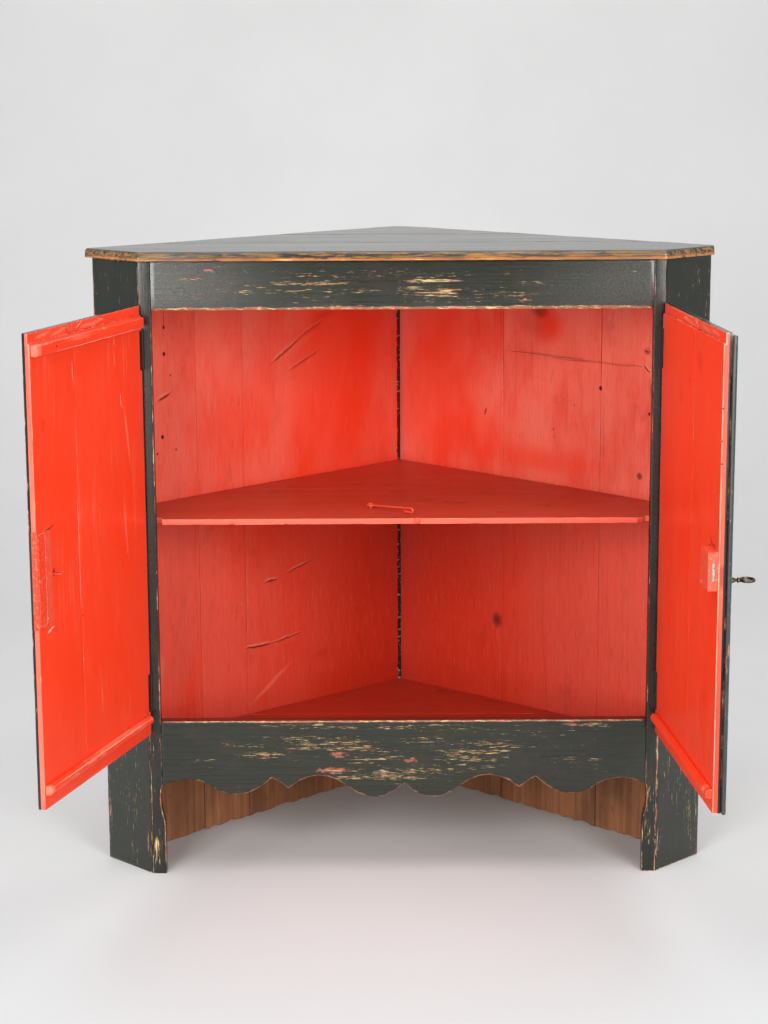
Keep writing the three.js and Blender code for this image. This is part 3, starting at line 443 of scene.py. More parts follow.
def ironFinish(name, base, rust, paintOver=None, share=0.0, roughness=(0.35, 0.6), metallic=0.85):
    iron = Finish(name, Metallic=metallic if paintOver is None else 0.15)
    where = iron.node("TexCoord").outputs["Object"]
    pitting = iron.cloud(where, 900, 5.0, 0.65)
    patches = iron.cloud(where, 160, 4.0, 0.6)
    colour = iron.blend(iron.cut(patches, 0.45, 0.65), base, rust)
    if paintOver is not None:
        cover = iron.cut(iron.cloud(where, 230, 4.0, 0.6), share - 0.08, share + 0.06)
        colour = iron.blend(cover, colour, paintOver)
    normal = iron.relief(pitting, 0.0003, 0.5)
    return iron.finish(colour, iron.cut(pitting, 0.3, 0.7, *roughness), normal)


railFlecks = (
    (0.9395, -0.13, 0.0045, 0.11, 0.95), (0.95, -0.14, 0.004, 0.08, 0.85),
    (0.926, -0.16, 0.008, 0.07, 0.6), (0.9535, 0.05, 0.0055, 0.055, 1.0),
    (0.938, 0.045, 0.012, 0.055, 1.0), (0.925, 0.04, 0.006, 0.05, 0.8), (0.961, 0.045, 0.005, 0.03, 0.7),
    (0.948, 0.19, 0.012, 0.06, 0.5), (0.919, 0.19, 0.006, 0.06, 0.6), (0.9584, -0.325, 0.003, 0.035, 0.8),
    (0.945, -0.2, 0.02, 0.12, 0.6), (0.915, 0.02, 0.004, 0.25, 0.7), (0.965, -0.05, 0.01, 0.2, 0.55),
    (0.93, 0.1, 0.012, 0.14, 0.6), (0.93, -0.3, 0.01, 0.05, 0.6),
)
railPatches = (
    (0.9705, -0.297, 0.0025, 0.008), (0.9385, -0.062, 0.002, 0.008), (0.925, 0.186, 0.0015, 0.006),
)
apronFlecks = (
    (0.198, -0.22, 0.01, 0.05, 0.75), (0.215, -0.25, 0.005, 0.06, 0.6), (0.211, -0.09, 0.016, 0.065, 0.8),
    (0.196, -0.055, 0.012, 0.06, 0.85), (0.179, -0.065, 0.008, 0.07, 0.8),
    (0.168, -0.01, 0.022, 0.065, 0.75), (0.246, -0.1, 0.006, 0.16, 0.7), (0.244, 0.05, 0.008, 0.14, 0.8),
    (0.222, 0.03, 0.012, 0.05, 0.75), (0.205, 0.13, 0.02, 0.09, 0.75), (0.185, 0.1, 0.016, 0.07, 0.7),
    (0.235, 0.22, 0.01, 0.12, 0.5), (0.185, -0.31, 0.01, 0.04, 0.6), (0.205, -0.14, 0.02, 0.07, 0.75),
    (0.19, 0.28, 0.015, 0.06, 0.5), (0.165, -0.09, 0.012, 0.05, 0.8), (0.175, 0.06, 0.014, 0.05, 0.75),
    (0.247, 0.3, 0.005, 0.06, 0.8), (0.225, -0.15, 0.012, 0.09, 0.65), (0.15, 0.0, 0.008, 0.03, 0.7),
)
apronPatches = (
    (0.1983, -0.2216, 0.003, 0.007), (0.1977, -0.1018, 0.004, 0.012), (0.1715, -0.115, 0.004, 0.022),
    (0.188, 0.012, 0.003, 0.01),
)
footFlecks = ((-0.396, 0.04, 0.008, 0.03, 0.9), (0.395, 0.1, 0.01, 0.08, 0.6), (-0.4, 0.2, 0.004, 0.1, 0.5))
returnFlecks = (
    (0.01, 0.05, 0.012, 0.03, 0.9), (0.06, 0.16, 0.05, 0.1, 0.5), (0.115, 0.1, 0.01, 0.1, 0.7),
    (0.06, 0.94, 0.05, 0.04, 0.4),
)

doorFlecks = ((0.2, 0.5, 0.12, 0.2, 0.5), (0.3, 0.35, 0.06, 0.1, 0.6))
# a painted sheen at the two ends of the top rail, where the glossy paint catches the lamps
railSheenSpots = ((0.948, -0.355, 0.05, 0.115, 0.7), (0.948, 0.35, 0.05, 0.11, 0.48))
# the stiles are painted darker than the other green: painted shade beside the open doors
shadedStileLook = dict(greenLook, dark=(0.0065, 0.0075, 0.0052), light=(0.013, 0.0145, 0.01))
# the astragal is painted paler and bluer than the other green: a painted sheen
astragalSheenLook = dict(greenLook, dark=(0.03, 0.038, 0.04), light=(0.06, 0.074, 0.08))
railGreen = greenPaint("railGreenPaint", railFlecks, railPatches, sheenSpots=railSheenSpots, edge=1.28, general=0.45,
                       edgeFrom=(-0.3, -0.2))
apronGreen = greenPaint("apronGreenPaint", apronFlecks, apronPatches, edge=1.0, general=0.45,
                        edgeFrom=(-0.36, -0.24), dullFrom=(0.205, 0.19))
shadedStileGreen = greenPaint("shadedStileGreenPaint", footFlecks, look=shadedStileLook, general=0.4, sheen=(0.26, 0.5))
returnGreen = greenPaint("returnGreenPaint", returnFlecks, edge=0.46, general=0.55)
doorGreen = greenPaint("doorGreenPaint", doorFlecks, edge=0.48, general=0.5)
astragalGreen = greenPaint("astragalGreenPaint", look=astragalSheenLook, edge=0.3, general=0.2)


def stroke(kind, start, end, half, share):
    # a long mark given by its two ends
    run, rise = end[0] - start[0], end[1] - start[1]
    middle = ((start[0] + end[0]) / 2, (start[1] + end[1]) / 2)
    return kind, *middle, math.hypot(run, rise) / 2, half, -math.atan2(rise, run), share


leftWallMarks = (
    stroke("scar", (0.318, 0.787), (0.252, 0.825), 0.002, 0.65),
    stroke("scar", (0.252, 0.827), (0.205, 0.846), 0.0022, 0.5),
    stroke("scar", (0.278, 0.771), (0.215, 0.796), 0.0017, 0.5),
    stroke("worn", (0.3, 0.792), (0.225, 0.828), 0.006, 0.25),
    stroke("dark", (0.215, 0.856), (0.172, 0.862), 0.005, 0.6),
    stroke("scar", (0.5695, 0.7475), (0.545, 0.757), 0.002, 0.8),
    stroke("scar", (0.345, 0.409), (0.315, 0.4105), 0.0016, 0.7),
    stroke("scar", (0.29, 0.4185), (0.236, 0.43), 0.0014, 0.5),
    stroke("scar", (0.39, 0.3007), (0.335, 0.2985), 0.0016, 0.8),
    stroke("scar", (0.33, 0.299), (0.264, 0.3057), 0.0012, 0.55),
    stroke("worn", (0.375, 0.203), (0.298, 0.251), 0.0035, 0.4),
    ("worn", 0.579, 0.302, 0.01, 0.02, 0, 0.35), ("dark", 0.2115, 0.2597, 0.016, 0.008, 0, 0.5),
    ("fresh", 0.15, 0.7, 0.09, 0.2, 0, 0.6), ("fresh", 0.13, 0.87, 0.08, 0.09, 0, 0.6),
    ("fresh", 0.25, 0.69, 0.05, 0.1, 0, 0.35), ("fresh", 0.4, 0.69, 0.05, 0.07, 0, 0.4),
    ("hole", 0.5554, 0.866, 0.0022, 0.003, 0, 1.0), ("hole", 0.556, 0.823, 0.0028, 0.0036, 0, 1.0),
    ("hole", 0.563, 0.688, 0.0028, 0.0036, 0, 1.0), ("hole", 0.5743, 0.6614, 0.0018, 0.0022, 0, 1.0),
    ("hole", 0.5432, 0.7872, 0.0014, 0.0018, 0, 1.0), ("line", 0.5552, 0.885, 0.0005, 0.02, 0, 0.7),
    ("hole", 0.535, 0.664, 0.0016, 0.002, 0, 0.9),
)
rightWallMarks = (
    ("knot", 0.345, 0.876, 0.02, 0.013, 0, 0.55), ("knot", 0.347, 0.873, 0.011, 0.009, 0, 0.8),
    ("dark", 0.345, 0.852, 0.03, 0.022, 0, 0.5), ("fresh", 0.368, 0.852, 0.022, 0.026, 0, 0.8),
    ("fresh", 0.1, 0.76, 0.08, 0.12, 0, 0.6), ("fresh", 0.17, 0.64, 0.1, 0.05, 0, 0.55),
    ("fresh", 0.14, 0.87, 0.05, 0.1, 0, 0.45), ("fresh", 0.35, 0.62, 0.09, 0.02, 0, 0.6),
    ("knot", 0.2496, 0.3249, 0.011, 0.012, 0, 0.75), ("knot", 0.2496, 0.3249, 0.005, 0.005, 0, 0.8),
    ("knot", 0.5608, 0.618, 0.005, 0.005, 0, 0.8), ("knot", 0.5725, 0.825, 0.006, 0.005, 0, 0.8),
    stroke("scar", (0.28, 0.8015), (0.45, 0.8), 0.0006, 0.5),
    stroke("scar", (0.38, 0.797), (0.56, 0.7985), 0.0006, 0.45),
    ("worn", 0.5773, 0.8, 0.009, 0.02, 0, 0.6),
    stroke("scar", (0.566, 0.826), (0.577, 0.823), 0.0014, 0.7),
    stroke("scar", (0.5665, 0.8), (0.5785, 0.79), 0.0014, 0.7),
    stroke("scar", (0.58, 0.785), (0.5805, 0.745), 0.001, 0.5),
    ("hole", 0.4768, 0.756, 0.003, 0.004, 0, 1.0), ("hole", 0.579, 0.7236, 0.0022, 0.003, 0, 1.0),
    ("line", 0.4777, 0.84, 0.0007, 0.09, 0, 0.8), ("line", 0.4777, 0.66, 0.0005, 0.09, 0, 0.35),
    ("line", 0.2617, 0.84, 0.0006, 0.09, 0, 0.6), ("cut", 0.2215, 0.6916, 0.0022, 0.007, 0.2, 0.7),
    ("hole", 0.376, 0.677, 0.0014, 0.0018, 0, 0.9), ("hole", 0.421, 0.722, 0.0012, 0.0016, 0, 0.8),
)
wallLook = dict(redLook, fresh=(0.78, 0.03, 0.0025), faded=(0.72, 0.092, 0.058), deep=(0.42, 0.02, 0.006))
# the walls' low setting paints shade below the shelf; high and toCorner paint partly a sheen
leftWallRed = redPaint("leftWallRedPaint", leftWallMarks, wallLook, fresh=0.8, fadeAt=(0.34, 0.68),
                       streaks=0.2, dirt=0.35, rings=0.12, toothed=0.4, toCorner=0.14, low=0.8, high=0.42,
                       cornerGap=True)
rightWallRed = redPaint("rightWallRedPaint", rightWallMarks, wallLook, fresh=0.65, fadeAt=(0.36, 0.7),
                        dirt=0.3, scuffs=0.25, rings=0.34, toothed=0.4, toCorner=0.1, low=0.8, high=0.62)
leftDoorMarks = (
    ("worn", 0.109, 0.875, 0.002, 0.006, 0.15, 0.8), ("worn", 0.1088, 0.85, 0.0015, 0.01, 0.1, 0.7),
    ("pale", 0.2575, 0.848, 0.0008, 0.016, 0.1, 0.6), ("pale", 0.09, 0.783, 0.0012, 0.01, 0.12, 0.7),
    ("worn", 0.07, 0.73, 0.003, 0.04, 0.2, 0.6), ("worn", 0.252, 0.73, 0.0018, 0.05, 0.0, 0.6),
    ("pale", 0.2535, 0.58, 0.001, 0.085, 0.0, 0.6), ("worn", 0.083, 0.585, 0.002, 0.04, 0.1, 0.55),
    ("rough", 0.357, 0.565, 0.009, 0.07, 0, 0.75), ("cut", 0.35, 0.6385, 0.012, 0.0012, 0.1, 0.7),
    ("pale", 0.356, 0.493, 0.01, 0.0018, 0.25, 0.6), ("knot", 0.34, 0.5735, 0.0035, 0.004, 0, 0.9),
    ("hole", 0.2479, 0.4888, 0.0013, 0.0016, 0, 0.9), ("hole", 0.176, 0.64, 0.001, 0.0012, 0, 0.7),
    ("dark", 0.36, 0.788, 0.005, 0.012, 0, 0.5), ("hole", 0.356, 0.79, 0.0012, 0.002, 0, 0.5),
)
rightDoorMarks = (
    ("dark", 0.2644, 0.861, 0.016, 0.012, 0.4, 0.6), ("dark", 0.2025, 0.8269, 0.01, 0.01, 0, 0.5),
    ("dark", 0.1443, 0.7966, 0.01, 0.014, 0, 0.45), ("cut", 0.364, 0.62, 0.02, 0.0012, 0.5, 0.8),
    ("cut", 0.356, 0.616, 0.014, 0.001, -0.6, 0.8), ("cut", 0.38, 0.619, 0.01, 0.0012, 0.1, 0.8),
    ("hole", 0.296, 0.724, 0.0012, 0.0012, 0, 0.7), ("hole", 0.16, 0.52, 0.001, 0.0012, 0, 0.6),
    ("worn", 0.3, 0.36, 0.0016, 0.03, 0, 0.5), ("worn", 0.15, 0.44, 0.0014, 0.05, 0, 0.4),
)
lipMarks = (
    ("worn", 0.345, 0.912, 0.02, 0.0022, 0.1, 0.8), ("worn", 0.29, 0.911, 0.026, 0.0025, 0.15, 0.7),
    ("pale", 0.225, 0.913, 0.012, 0.001, 0.3, 0.7), ("worn", 0.18, 0.91, 0.034, 0.0024, 0.05, 0.8),
    # the dark line at the foot of the lip is a painted shadow under the rebate's step
    ("pale", 0.15, 0.913, 0.01, 0.0008, -0.2, 0.7), ("line", 0.2, 0.9046, 0.19, 0.0007, 0, 0.85),
    ("rough", 0.26, 0.912, 0.1, 0.005, 0, 0.5),
)
edgeMarks = (
    # the slot is the bolt's notch in the free edge, painted as a dark shadowed recess
    ("slot", 0.4062, 0.58, 0.02, 0.015, 0, 0.6), ("rough", 0.4062, 0.555, 0.02, 0.005, 0, 0.8),
)
panelLook = dict(redLook, deep=(0.62, 0.022, 0.006))
leftDoorRed = redPaint("leftDoorRedPaint", leftDoorMarks, panelLook, streaks=0.12, dirt=0.12, scuffs=0.1,
                       edgePink=0.4, sheen=(0.28, 0.42), rings=0.08, chalk=0.55)
rightDoorRed = redPaint("rightDoorRedPaint", rightDoorMarks, panelLook, fresh=0.6, streaks=0.16, dirt=0.25,
                        scuffs=0.08, edgePink=0.4, sheen=(0.3, 0.44), rings=0.12, chalk=0.25)
doorLipRed = redPaint("doorLipRedPaint", lipMarks, panelLook, fresh=0.3, streaks=0.2, dirt=0.5, scuffs=0.5,
                      edgePink=0.5, sheen=(0.34, 0.5))
edgeWear = {"fresh": 0.8, "dirt": 0.3, "sheen": (0.34, 0.5)}  # the doors' free edges
# the free edges' pinker reds are worn paint, and partly a painted sheen
leftEdgeLook = dict(redLook, fresh=(0.82, 0.085, 0.045), faded=(0.82, 0.17, 0.115), deep=(0.62, 0.04, 0.02))
rightEdgeLook = dict(redLook, fresh=(0.8, 0.045, 0.018), faded=(0.82, 0.085, 0.045), pink=(0.82, 0.27, 0.18))
leftEdgePink = redPaint("leftDoorEdgePaint", (), leftEdgeLook, scuffs=0.6, edgePink=0.45, **edgeWear)
rightEdgePink = redPaint("rightDoorEdgePaint", edgeMarks, rightEdgeLook, scuffs=0.5, edgePink=0.85,
                         **edgeWear)
battenMarks = (
    # the pale rays along the battens are worn arrises and partly painted highlights on their rounded faces
    ("ray", 0.8868, 0.17, 0.001, 0.17, 0.0, 0.9), ("rough", 0.8945, 0.386, 0.01, 0.008, 0, 0.95),
    ("worn", 0.8945, 0.386, 0.01, 0.007, 0, 0.8), ("hole", 0.8945, 0.33, 0.0016, 0.0022, 0, 0.8),
    ("worn", 0.8985, 0.25, 0.003, 0.03, 0, 0.5), ("ray", 0.269, 0.2, 0.0006, 0.18, 0.0, 0.7),
    ("worn", 0.265, 0.388, 0.008, 0.006, 0, 0.9), ("worn", 0.2715, 0.15, 0.0014, 0.1, 0, 0.7),
    ("worn", 0.26, 0.33, 0.0012, 0.04, 0, 0.6),
)
rightBattenMarks = (
    ("worn", 0.265, 0.388, 0.008, 0.006, 0, 0.9), ("hole", 0.263, 0.386, 0.0016, 0.0016, 0, 0.9),
)
battenWear = {"fresh": 0.4, "streaks": 0.12, "dirt": 0.25, "scuffs": 0.2, "sheen": (0.28, 0.42), "rings": 0.1,
              "rippled": 0.12}
battenRed = redPaint("battenRedPaint", battenMarks, panelLook, edgePink=0.42, chalk=0.3, **battenWear)
rightBattenRed = redPaint("rightBattenRedPaint", rightBattenMarks, panelLook, edgePink=0.35, chalk=0.15,
                          **battenWear)
levelWear = {"fresh": 0.6, "fadeAt": (0.4, 0.6), "streaks": 0.4, "dirt": 0.8}  # shelf and floor
shelfLook = dict(redLook, fresh=(0.48, 0.034, 0.012), faded=(0.52, 0.058, 0.028), deep=(0.24, 0.014, 0.008),
                 maroon=(0.06, 0.01, 0.007), pink=(0.72, 0.16, 0.1))
floorLook = dict(redLook, fresh=(0.46, 0.03, 0.009), faded=(0.48, 0.045, 0.018), deep=(0.22, 0.012, 0.006),
                 maroon=(0.055, 0.009, 0.006))
# the shelf's front edge is painted brighter than its top: a painted highlight where it faces the lamps
litShelfEdgeLook = dict(redLook, faded=(0.86, 0.11, 0.06), fresh=(0.85, 0.06, 0.025))
maroonLook = dict(redLook, fresh=(0.16, 0.014, 0.006), faded=(0.13, 0.012, 0.007), deep=(0.06, 0.008, 0.005))
shelfRed = redPaint("shelfRedPaint", (), shelfLook, scuffs=0.8, edgePink=0.12, sheen=(0.36, 0.55),
                    **levelWear)
floorRed = redPaint("floorRedPaint", (), floorLook, scuffs=0.4, sheen=(0.36, 0.6), **levelWear)
litShelfEdgeRed = redPaint("litShelfEdgeRedPaint", (), litShelfEdgeLook, fresh=0.2, fadeAt=(0.4, 0.6), streaks=0.1,
                        dirt=0.2, edgePink=0.55, sheen=(0.34, 0.5))
maroonPaint = redPaint("apronTopPaint", (), maroonLook, fadeAt=(0.4, 0.6), dirt=0.5, scuffs=0.1,
                       sheen=(0.4, 0.6))
pineBare = bareWood("barePine")
pineLow = {
    "left": bareWood("leftLowPine", 0.15, 0.45, joints=(0.3877, 0.4897)),
    "right": bareWood("rightLowPine", 0.15, 0.45, joints=(0.2617, 0.4777)),
}
pineBack = bareWood("agedPineBack", 0.45, 0.5)
dirtLook = dict(woodLook, pale=(0.035, 0.016, 0.01), mid=(0.02, 0.01, 0.007))
jointBrown = bareWood("jointDirtBrown", 0.0, 1.0, dirtLook)
topDark = topPaint("topPaint")
topEdge = topPaint("topEdgePaint", True)

# iron: bare metal, rust, then the paint over it and where it is lost, or the bare metal's own settings
ironDark = ironFinish("agedIron", (0.05, 0.045, 0.04), (0.1, 0.045, 0.02))
ironGreen = ironFinish("ironUnderGreen", (0.02, 0.018, 0.014), (0.05, 0.022, 0.012), (0.0115, 0.014, 0.0095),
                       0.34, (0.4, 0.6))
paintedSheen = (0.34, 0.5)
ironRed = ironFinish("ironUnderRed", (0.3, 0.16, 0.1), (0.62, 0.13, 0.08), (0.66, 0.055, 0.025), 0.4,
                     paintedSheen)
lockRed = ironFinish("lockUnderRed", (0.7, 0.2, 0.13), (0.72, 0.1, 0.05), (0.8, 0.075, 0.035), 0.42,
                     paintedSheen)
strikeRed = ironFinish("strikeUnderRed", (0.74, 0.16, 0.09), (0.5, 0.1, 0.06), (0.84, 0.05, 0.014), 0.44,
                       paintedSheen)
rimPink = ironFinish("rubbedRim", (0.84, 0.34, 0.24), (0.8, 0.2, 0.12), (0.84, 0.1, 0.05), 0.56, paintedSheen)
keyBrown = ironFinish("brownedSteel", (0.11, 0.085, 0.06), (0.2, 0.13, 0.07), roughness=(0.25, 0.5),
                      metallic=0.95)
boltBright = ironFinish("rubbedSteel", (0.4, 0.36, 0.31), (0.22, 0.15, 0.1), roughness=(0.3, 0.5),
                        metallic=0.95)
nailRust = ironFinish("nailIron", (0.1, 0.05, 0.03), (0.2, 0.08, 0.035), roughness=(0.5, 0.75), metallic=0.6)
print("finishes ready:", len(bpy.data.materials))


# boards: each lies in a frame of its own, with the grain along it
halfRoot = math.sqrt(0.5)
frontY = -0.555808
leftPin = Vector((-0.401, -0.559108, 0))
rightPin = Vector((0.401, -0.559108, 0))
leftOpen = math.radians(-107)
rightOpen = math.radians(94.7)


def layout(origin, across, along, through):
    parts = {"origin": origin, "across": across, "along": along, "through": through}
    return {part: Vector(value) for part, value in parts.items()}


def inLay(lay, vector):
    # an offset or a direction in the board's own frame
    return Vector([vector.dot(lay[part]) for part in ("across", "along", "through")])


def doorLayouts(pin, shut, opening):
    turn = Matrix.Rotation(opening, 3, "Z")
    width = turn @ Vector((shut, 0, 0))
    outside = turn @ Vector((0, -1, 0))
    up = (0, 0, 1)
    return layout(pin, width, up, outside), layout(pin, up, width, outside)


railLay = layout((0, frontY, 0), (0, 0, 1), (1, 0, 0), (0, 1, 0))
stileLay = layout((0, frontY, 0), (1, 0, 0), (0, 0, 1), (0, 1, 0))
wallStart = 0.0065 * halfRoot
toLeft, toRight = Vector((-halfRoot, -halfRoot, 0)), Vector((halfRoot, -halfRoot, 0))  # along the two walls
leftWallLay = layout((wallStart, wallStart, 0), toLeft, (0, 0, 1), -toRight)
rightWallLay = layout((-wallStart, wallStart, 0), toRight, (0, 0, 1), -toLeft)
leftReturnLay = layout((-0.397, frontY, 0), -toRight, (0, 0, 1), toLeft)
rightReturnLay = layout((0.397, frontY, 0), -toLeft, (0, 0, 1), toRight)
levelLay = layout((0, 0, 0), (0, 1, 0), (1, 0, 0), (0, 0, 1))
leftCleatLay = layout((0, 0, 0), (0, 0, 1), toLeft, -toRight)
rightCleatLay = layout((0, 0, 0), (0, 0, 1), toRight, -toLeft)
leftDoorLay, leftBattenLay = doorLayouts(leftPin, 1, leftOpen)
rightDoorLay, rightBattenLay = doorLayouts(rightPin, -1, rightOpen)

boardWork = {"merge": 0.00002, "flat": 0.9, "sharp": 24, "smooth": 21, "insetShare": 0.55, "strayShare": 0.8}


def copyOf(node):
    mesh = bmesh.new()
    mesh.from_mesh(frame["nodes"][node].data)
    bmesh.ops.remove_doubles(mesh, verts=mesh.verts, dist=boardWork["merge"])
    flat = math.radians(boardWork["flat"])
    bmesh.ops.dissolve_limit(mesh, angle_limit=flat, verts=mesh.verts, edges=mesh.edges)
    return mesh


def cutPlane(mesh, place, normal):
    geom = mesh.verts[:] + mesh.edges[:] + mesh.faces[:]
    bmesh.ops.bisect_plane(mesh, geom=geom, dist=0.00001, plane_co=place, plane_no=normal)


def easeEdges(mesh, arris, inset):
    skin = BVHTree.FromBMesh(mesh)
    turn = math.radians(boardWork["sharp"])
    sharp = [edge for edge in mesh.edges if edge.is_manifold and edge.calc_face_angle() > turn]
    made = bmesh.ops.bevel(mesh, geom=sharp, offset=arris, offset_type="OFFSET", segments=2, profile=0.5,
                           affect="EDGES", clamp_overlap=True, material=-1)
    rub = mesh.verts.layers.float.new("rub")
    for face in made["faces"]:
        for vert in face.verts:
            vert[rub] = 1.0
    rounded = set(made["faces"])
    if inset > 0:
        for face in [face for face in mesh.faces if face not in rounded]:
            length = sum(edge.calc_length() for edge in face.edges)
            width = face.calc_area() / length
            if width < arris:
                continue
            before = set(face.verts)
            thickness = min(inset, width * boardWork["insetShare"])
            bmesh.ops.inset_individual(mesh, faces=[face], thickness=thickness, use_even_offset=True)
            for vert in face.verts:
                if vert not in before:
                    vert[rub] = 0.0
    for vert in mesh.verts:
        # a narrow corner can throw a point out of the board: it is brought back to the surface
        nearest, normal, index, distance = skin.find_nearest(vert.co)
        if distance > arris * boardWork["strayShare"]:
            vert.co = nearest
    return rub


def cutAcross(mesh, direction, step, origin):
    # cuts at even steps so that the arrises can wander
    reach = [(vert.co - origin).dot(direction) for vert in mesh.verts]
    place = math.floor(min(reach) / step) * step + step
    while place < max(reach):
        cutPlane(mesh, origin + direction * place, direction)
        place += step


def wearArrises(mesh, rub, depth, chip, shift):
    mesh.normal_update()
    moves = []
    for vert in mesh.verts:
        if vert[rub] < 0.5:
            continue
        place = vert.co + Vector((shift, 0, shift))
        wave = 0.5 + 0.5 * noise.noise(place * 38)
        bite = max(0.0, noise.noise(place * 70) - 0.38) / 0.62
        moves.append((vert, -vert.normal * (depth * wave * wave + chip * bite)))
    for vert, move in moves:
        vert.co += move


def pieceFrom(mesh, name, node, body, finishes, lay, shift, rule=None):
    grain = mesh.verts.layers.float_vector.new("grain")
    for vert in mesh.verts:
        vert[grain] = inLay(lay, vert.co - lay["origin"]) + Vector((0, 0, shift))
    mesh.normal_update()
    for face in mesh.faces:
        face.smooth = True
        if rule is not None:
            local = inLay(lay, face.calc_center_median() - lay["origin"])
            face.material_index = rule(inLay(lay, face.normal), local)
    for edge in mesh.edges:
        edge.smooth = edge.is_manifold and edge.calc_face_angle() < math.radians(boardWork["smooth"])
    data = bpy.data.meshes.new(name)
    mesh.to_mesh(data)
    mesh.free()
    for finish in finishes:
        data.materials.append(finish)
    piece = bpy.data.objects.new(name, data)
    scene.collection.objects.link(piece)
    if node:
        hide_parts(node)
    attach(piece, body)
    return piece


def camel(node):
    first, *rest = node.split("_")
    return first + "".join(word.capitalize() for word in rest)


boardWear = {"arris": 0.001, "inset": 0.006, "step": 0.021, "depth": 0.0006, "chip": 0.0016}


def board(node, finishes, lay, rule=None, extra=None, **changes):
    wear = dict(boardWear, **changes)
    shift = random.Random(node).uniform(0, 9)
    mesh = copyOf(node)
    rub = easeEdges(mesh, wear["arris"], wear["inset"])
    if wear.get("floorCut"):
        cutAtFloor(mesh)
    cutAcross(mesh, lay["along"], wear["step"], lay["origin"])
    if wear.get("stepAcross"):
        cutAcross(mesh, lay["across"], wear["stepAcross"], lay["origin"])
    wearArrises(mesh, rub, wear["depth"], wear["chip"], shift)
    if extra:
        extra(mesh, rub, lay)
    body = frame["nodes"][node]["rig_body"]
    return pieceFrom(mesh, camel(node), node, body, finishes, lay, shift, rule)


def outsideGreen(side, local):
    return 1 if side.z > 0.6 else 0


# apron: green in front, maroon on top, bare behind
def apronRule(side, local):
    if side.z > 0.6:
        return 2
    if side.x > 0.6 and local.x > 0.25:
        return 1
    return 0


def calmRail(mesh, rub, lay):
    # the rails aren't worn under the top or where they meet the stiles
    for vert in mesh.verts:
        if vert.co.z > 0.975 or abs(vert.co.x) > 0.379:
            vert[rub] = 0.0


board("top_rail", (railGreen, rightWallRed), railLay, outsideGreen, calmRail)
board("apron_rail", (apronGreen, maroonPaint, pineBare), railLay, apronRule, calmRail,
      inset=0.0035, chip=0.0022)
for node in ("left_stile", "right_stile"):
    board(node, (shadedStileGreen, leftWallRed), stileLay, outsideGreen, inset=0.003, chip=0.002)


# return boards: green outside, red inside above the floor
def returnRule(side, local):
    if side.z < -0.6:
        return 1 if local.y > 0.19 else 2
    return 0


board("left_return_board", (returnGreen, leftWallRed, pineBare), leftReturnLay, returnRule, chip=0.002)
board("right_return_board", (returnGreen, rightWallRed, pineBare), rightReturnLay, returnRule, chip=0.002)
print("front frame dressed")


# back planks: red inside above the floor, bare below it and outside
floorPlane = {"front": 0.195, "drop": 0.021, "frontY": -0.5358, "backY": -0.009, "under": 0.008}


def floorHeight(y):
    share = (y - floorPlane["frontY"]) / (floorPlane["backY"] - floorPlane["frontY"])
    return floorPlane["front"] - floorPlane["drop"] * share - floorPlane["under"]


def cutAtFloor(mesh):
    # one cut where the red paint stops, hidden by the thickness of the floor boards
    near = Vector((0, floorPlane["frontY"], floorHeight(floorPlane["frontY"])))
    far = Vector((0, floorPlane["backY"], floorHeight(floorPlane["backY"])))
    cutPlane(mesh, near, Vector((1, 0, 0)).cross(far - near).normalized())


def wallRule(side, local):
    if side.z > 0.6:
        return 2
    y = local.x * -halfRoot
    return 0 if local.y > floorHeight(y) else 1


def raggedEnds(mesh, rub, lay):
    # the lower ends are broken away a little
    for vert in mesh.verts:
        if vert.co.z < 0.004:
            along = (vert.co - lay["origin"]).dot(lay["across"])
            rise = 0.5 + 0.5 * noise.noise(Vector((along * 22, lay["across"].x * 5, 3.7)))
            bite = max(0.0, noise.noise(Vector((along * 75, 1.3, lay["across"].x * 9))))
            vert.co.z += 0.0015 * rise * rise + 0.008 * bite


for hand, lay, red in (("left", leftWallLay, leftWallRed), ("right", rightWallLay, rightWallRed)):
    for part in ("corner", "middle", "side"):
        board(hand + "_back_" + part + "_plank", (red, pineLow[hand], pineBack), lay, wallRule, raggedEnds,
              stepAcross=0.012, step=0.19, floorCut=True, arris=0.0004, depth=0.0002, chip=0.0)
print("back planks dressed")


# top: dark face, worn rounded edge, bare underside
def topRule(side, local):
    if side.z < -0.7:
        return 2
    return 0 if side.z > 0.93 and local.x > -0.557 else 1


for part in ("front", "middle", "back"):
    board("top_" + part + "_plank", (topDark, topEdge, pineBare), levelLay, topRule, chip=0.0012)


crack = {"at": 0.0235, "half": 0.005, "depth": 0.0045}


def splitFront(mesh, rub, lay):
    # the broken bit in the shelf's front edge
    for vert in mesh.verts:
        reach = abs(vert.co.x - crack["at"])
        if reach < crack["half"] and vert.co.y < -0.52:
            vert.co.y += crack["depth"] * (1 - reach / crack["half"])


def shelfRule(side, local):
    return 1 if side.z < -0.7 else 0


# the front edge takes the brighter red, a painted highlight
def shelfFrontRule(side, local):
    if side.z < -0.7:
        return 1
    return 2 if side.x < -0.4 else 0


board("shelf_front_plank", (shelfRed, pineBare, litShelfEdgeRed), levelLay, shelfFrontRule, splitFront,
      step=0.0035, arris=0.0012)
board("shelf_back_plank", (shelfRed, pineBare), levelLay, shelfRule)
for part in ("front", "back"):
    board("floor_" + part + "_plank", (floorRed, pineBare), levelLay, shelfRule)
board("floor_front_cleat", (pineBare,), railLay)
board("left_floor_cleat", (pineBare,), leftCleatLay)
board("right_floor_cleat", (pineBare,), rightCleatLay)
print("top, shelf and floor dressed")


# doors: red inside, green outside, on the top end and on the outer part of the pink free edge
doorFaces = {"coat": 0.0055, "lipBottom": 0.904, "lipFace": -0.0005, "topEnd": 0.915}


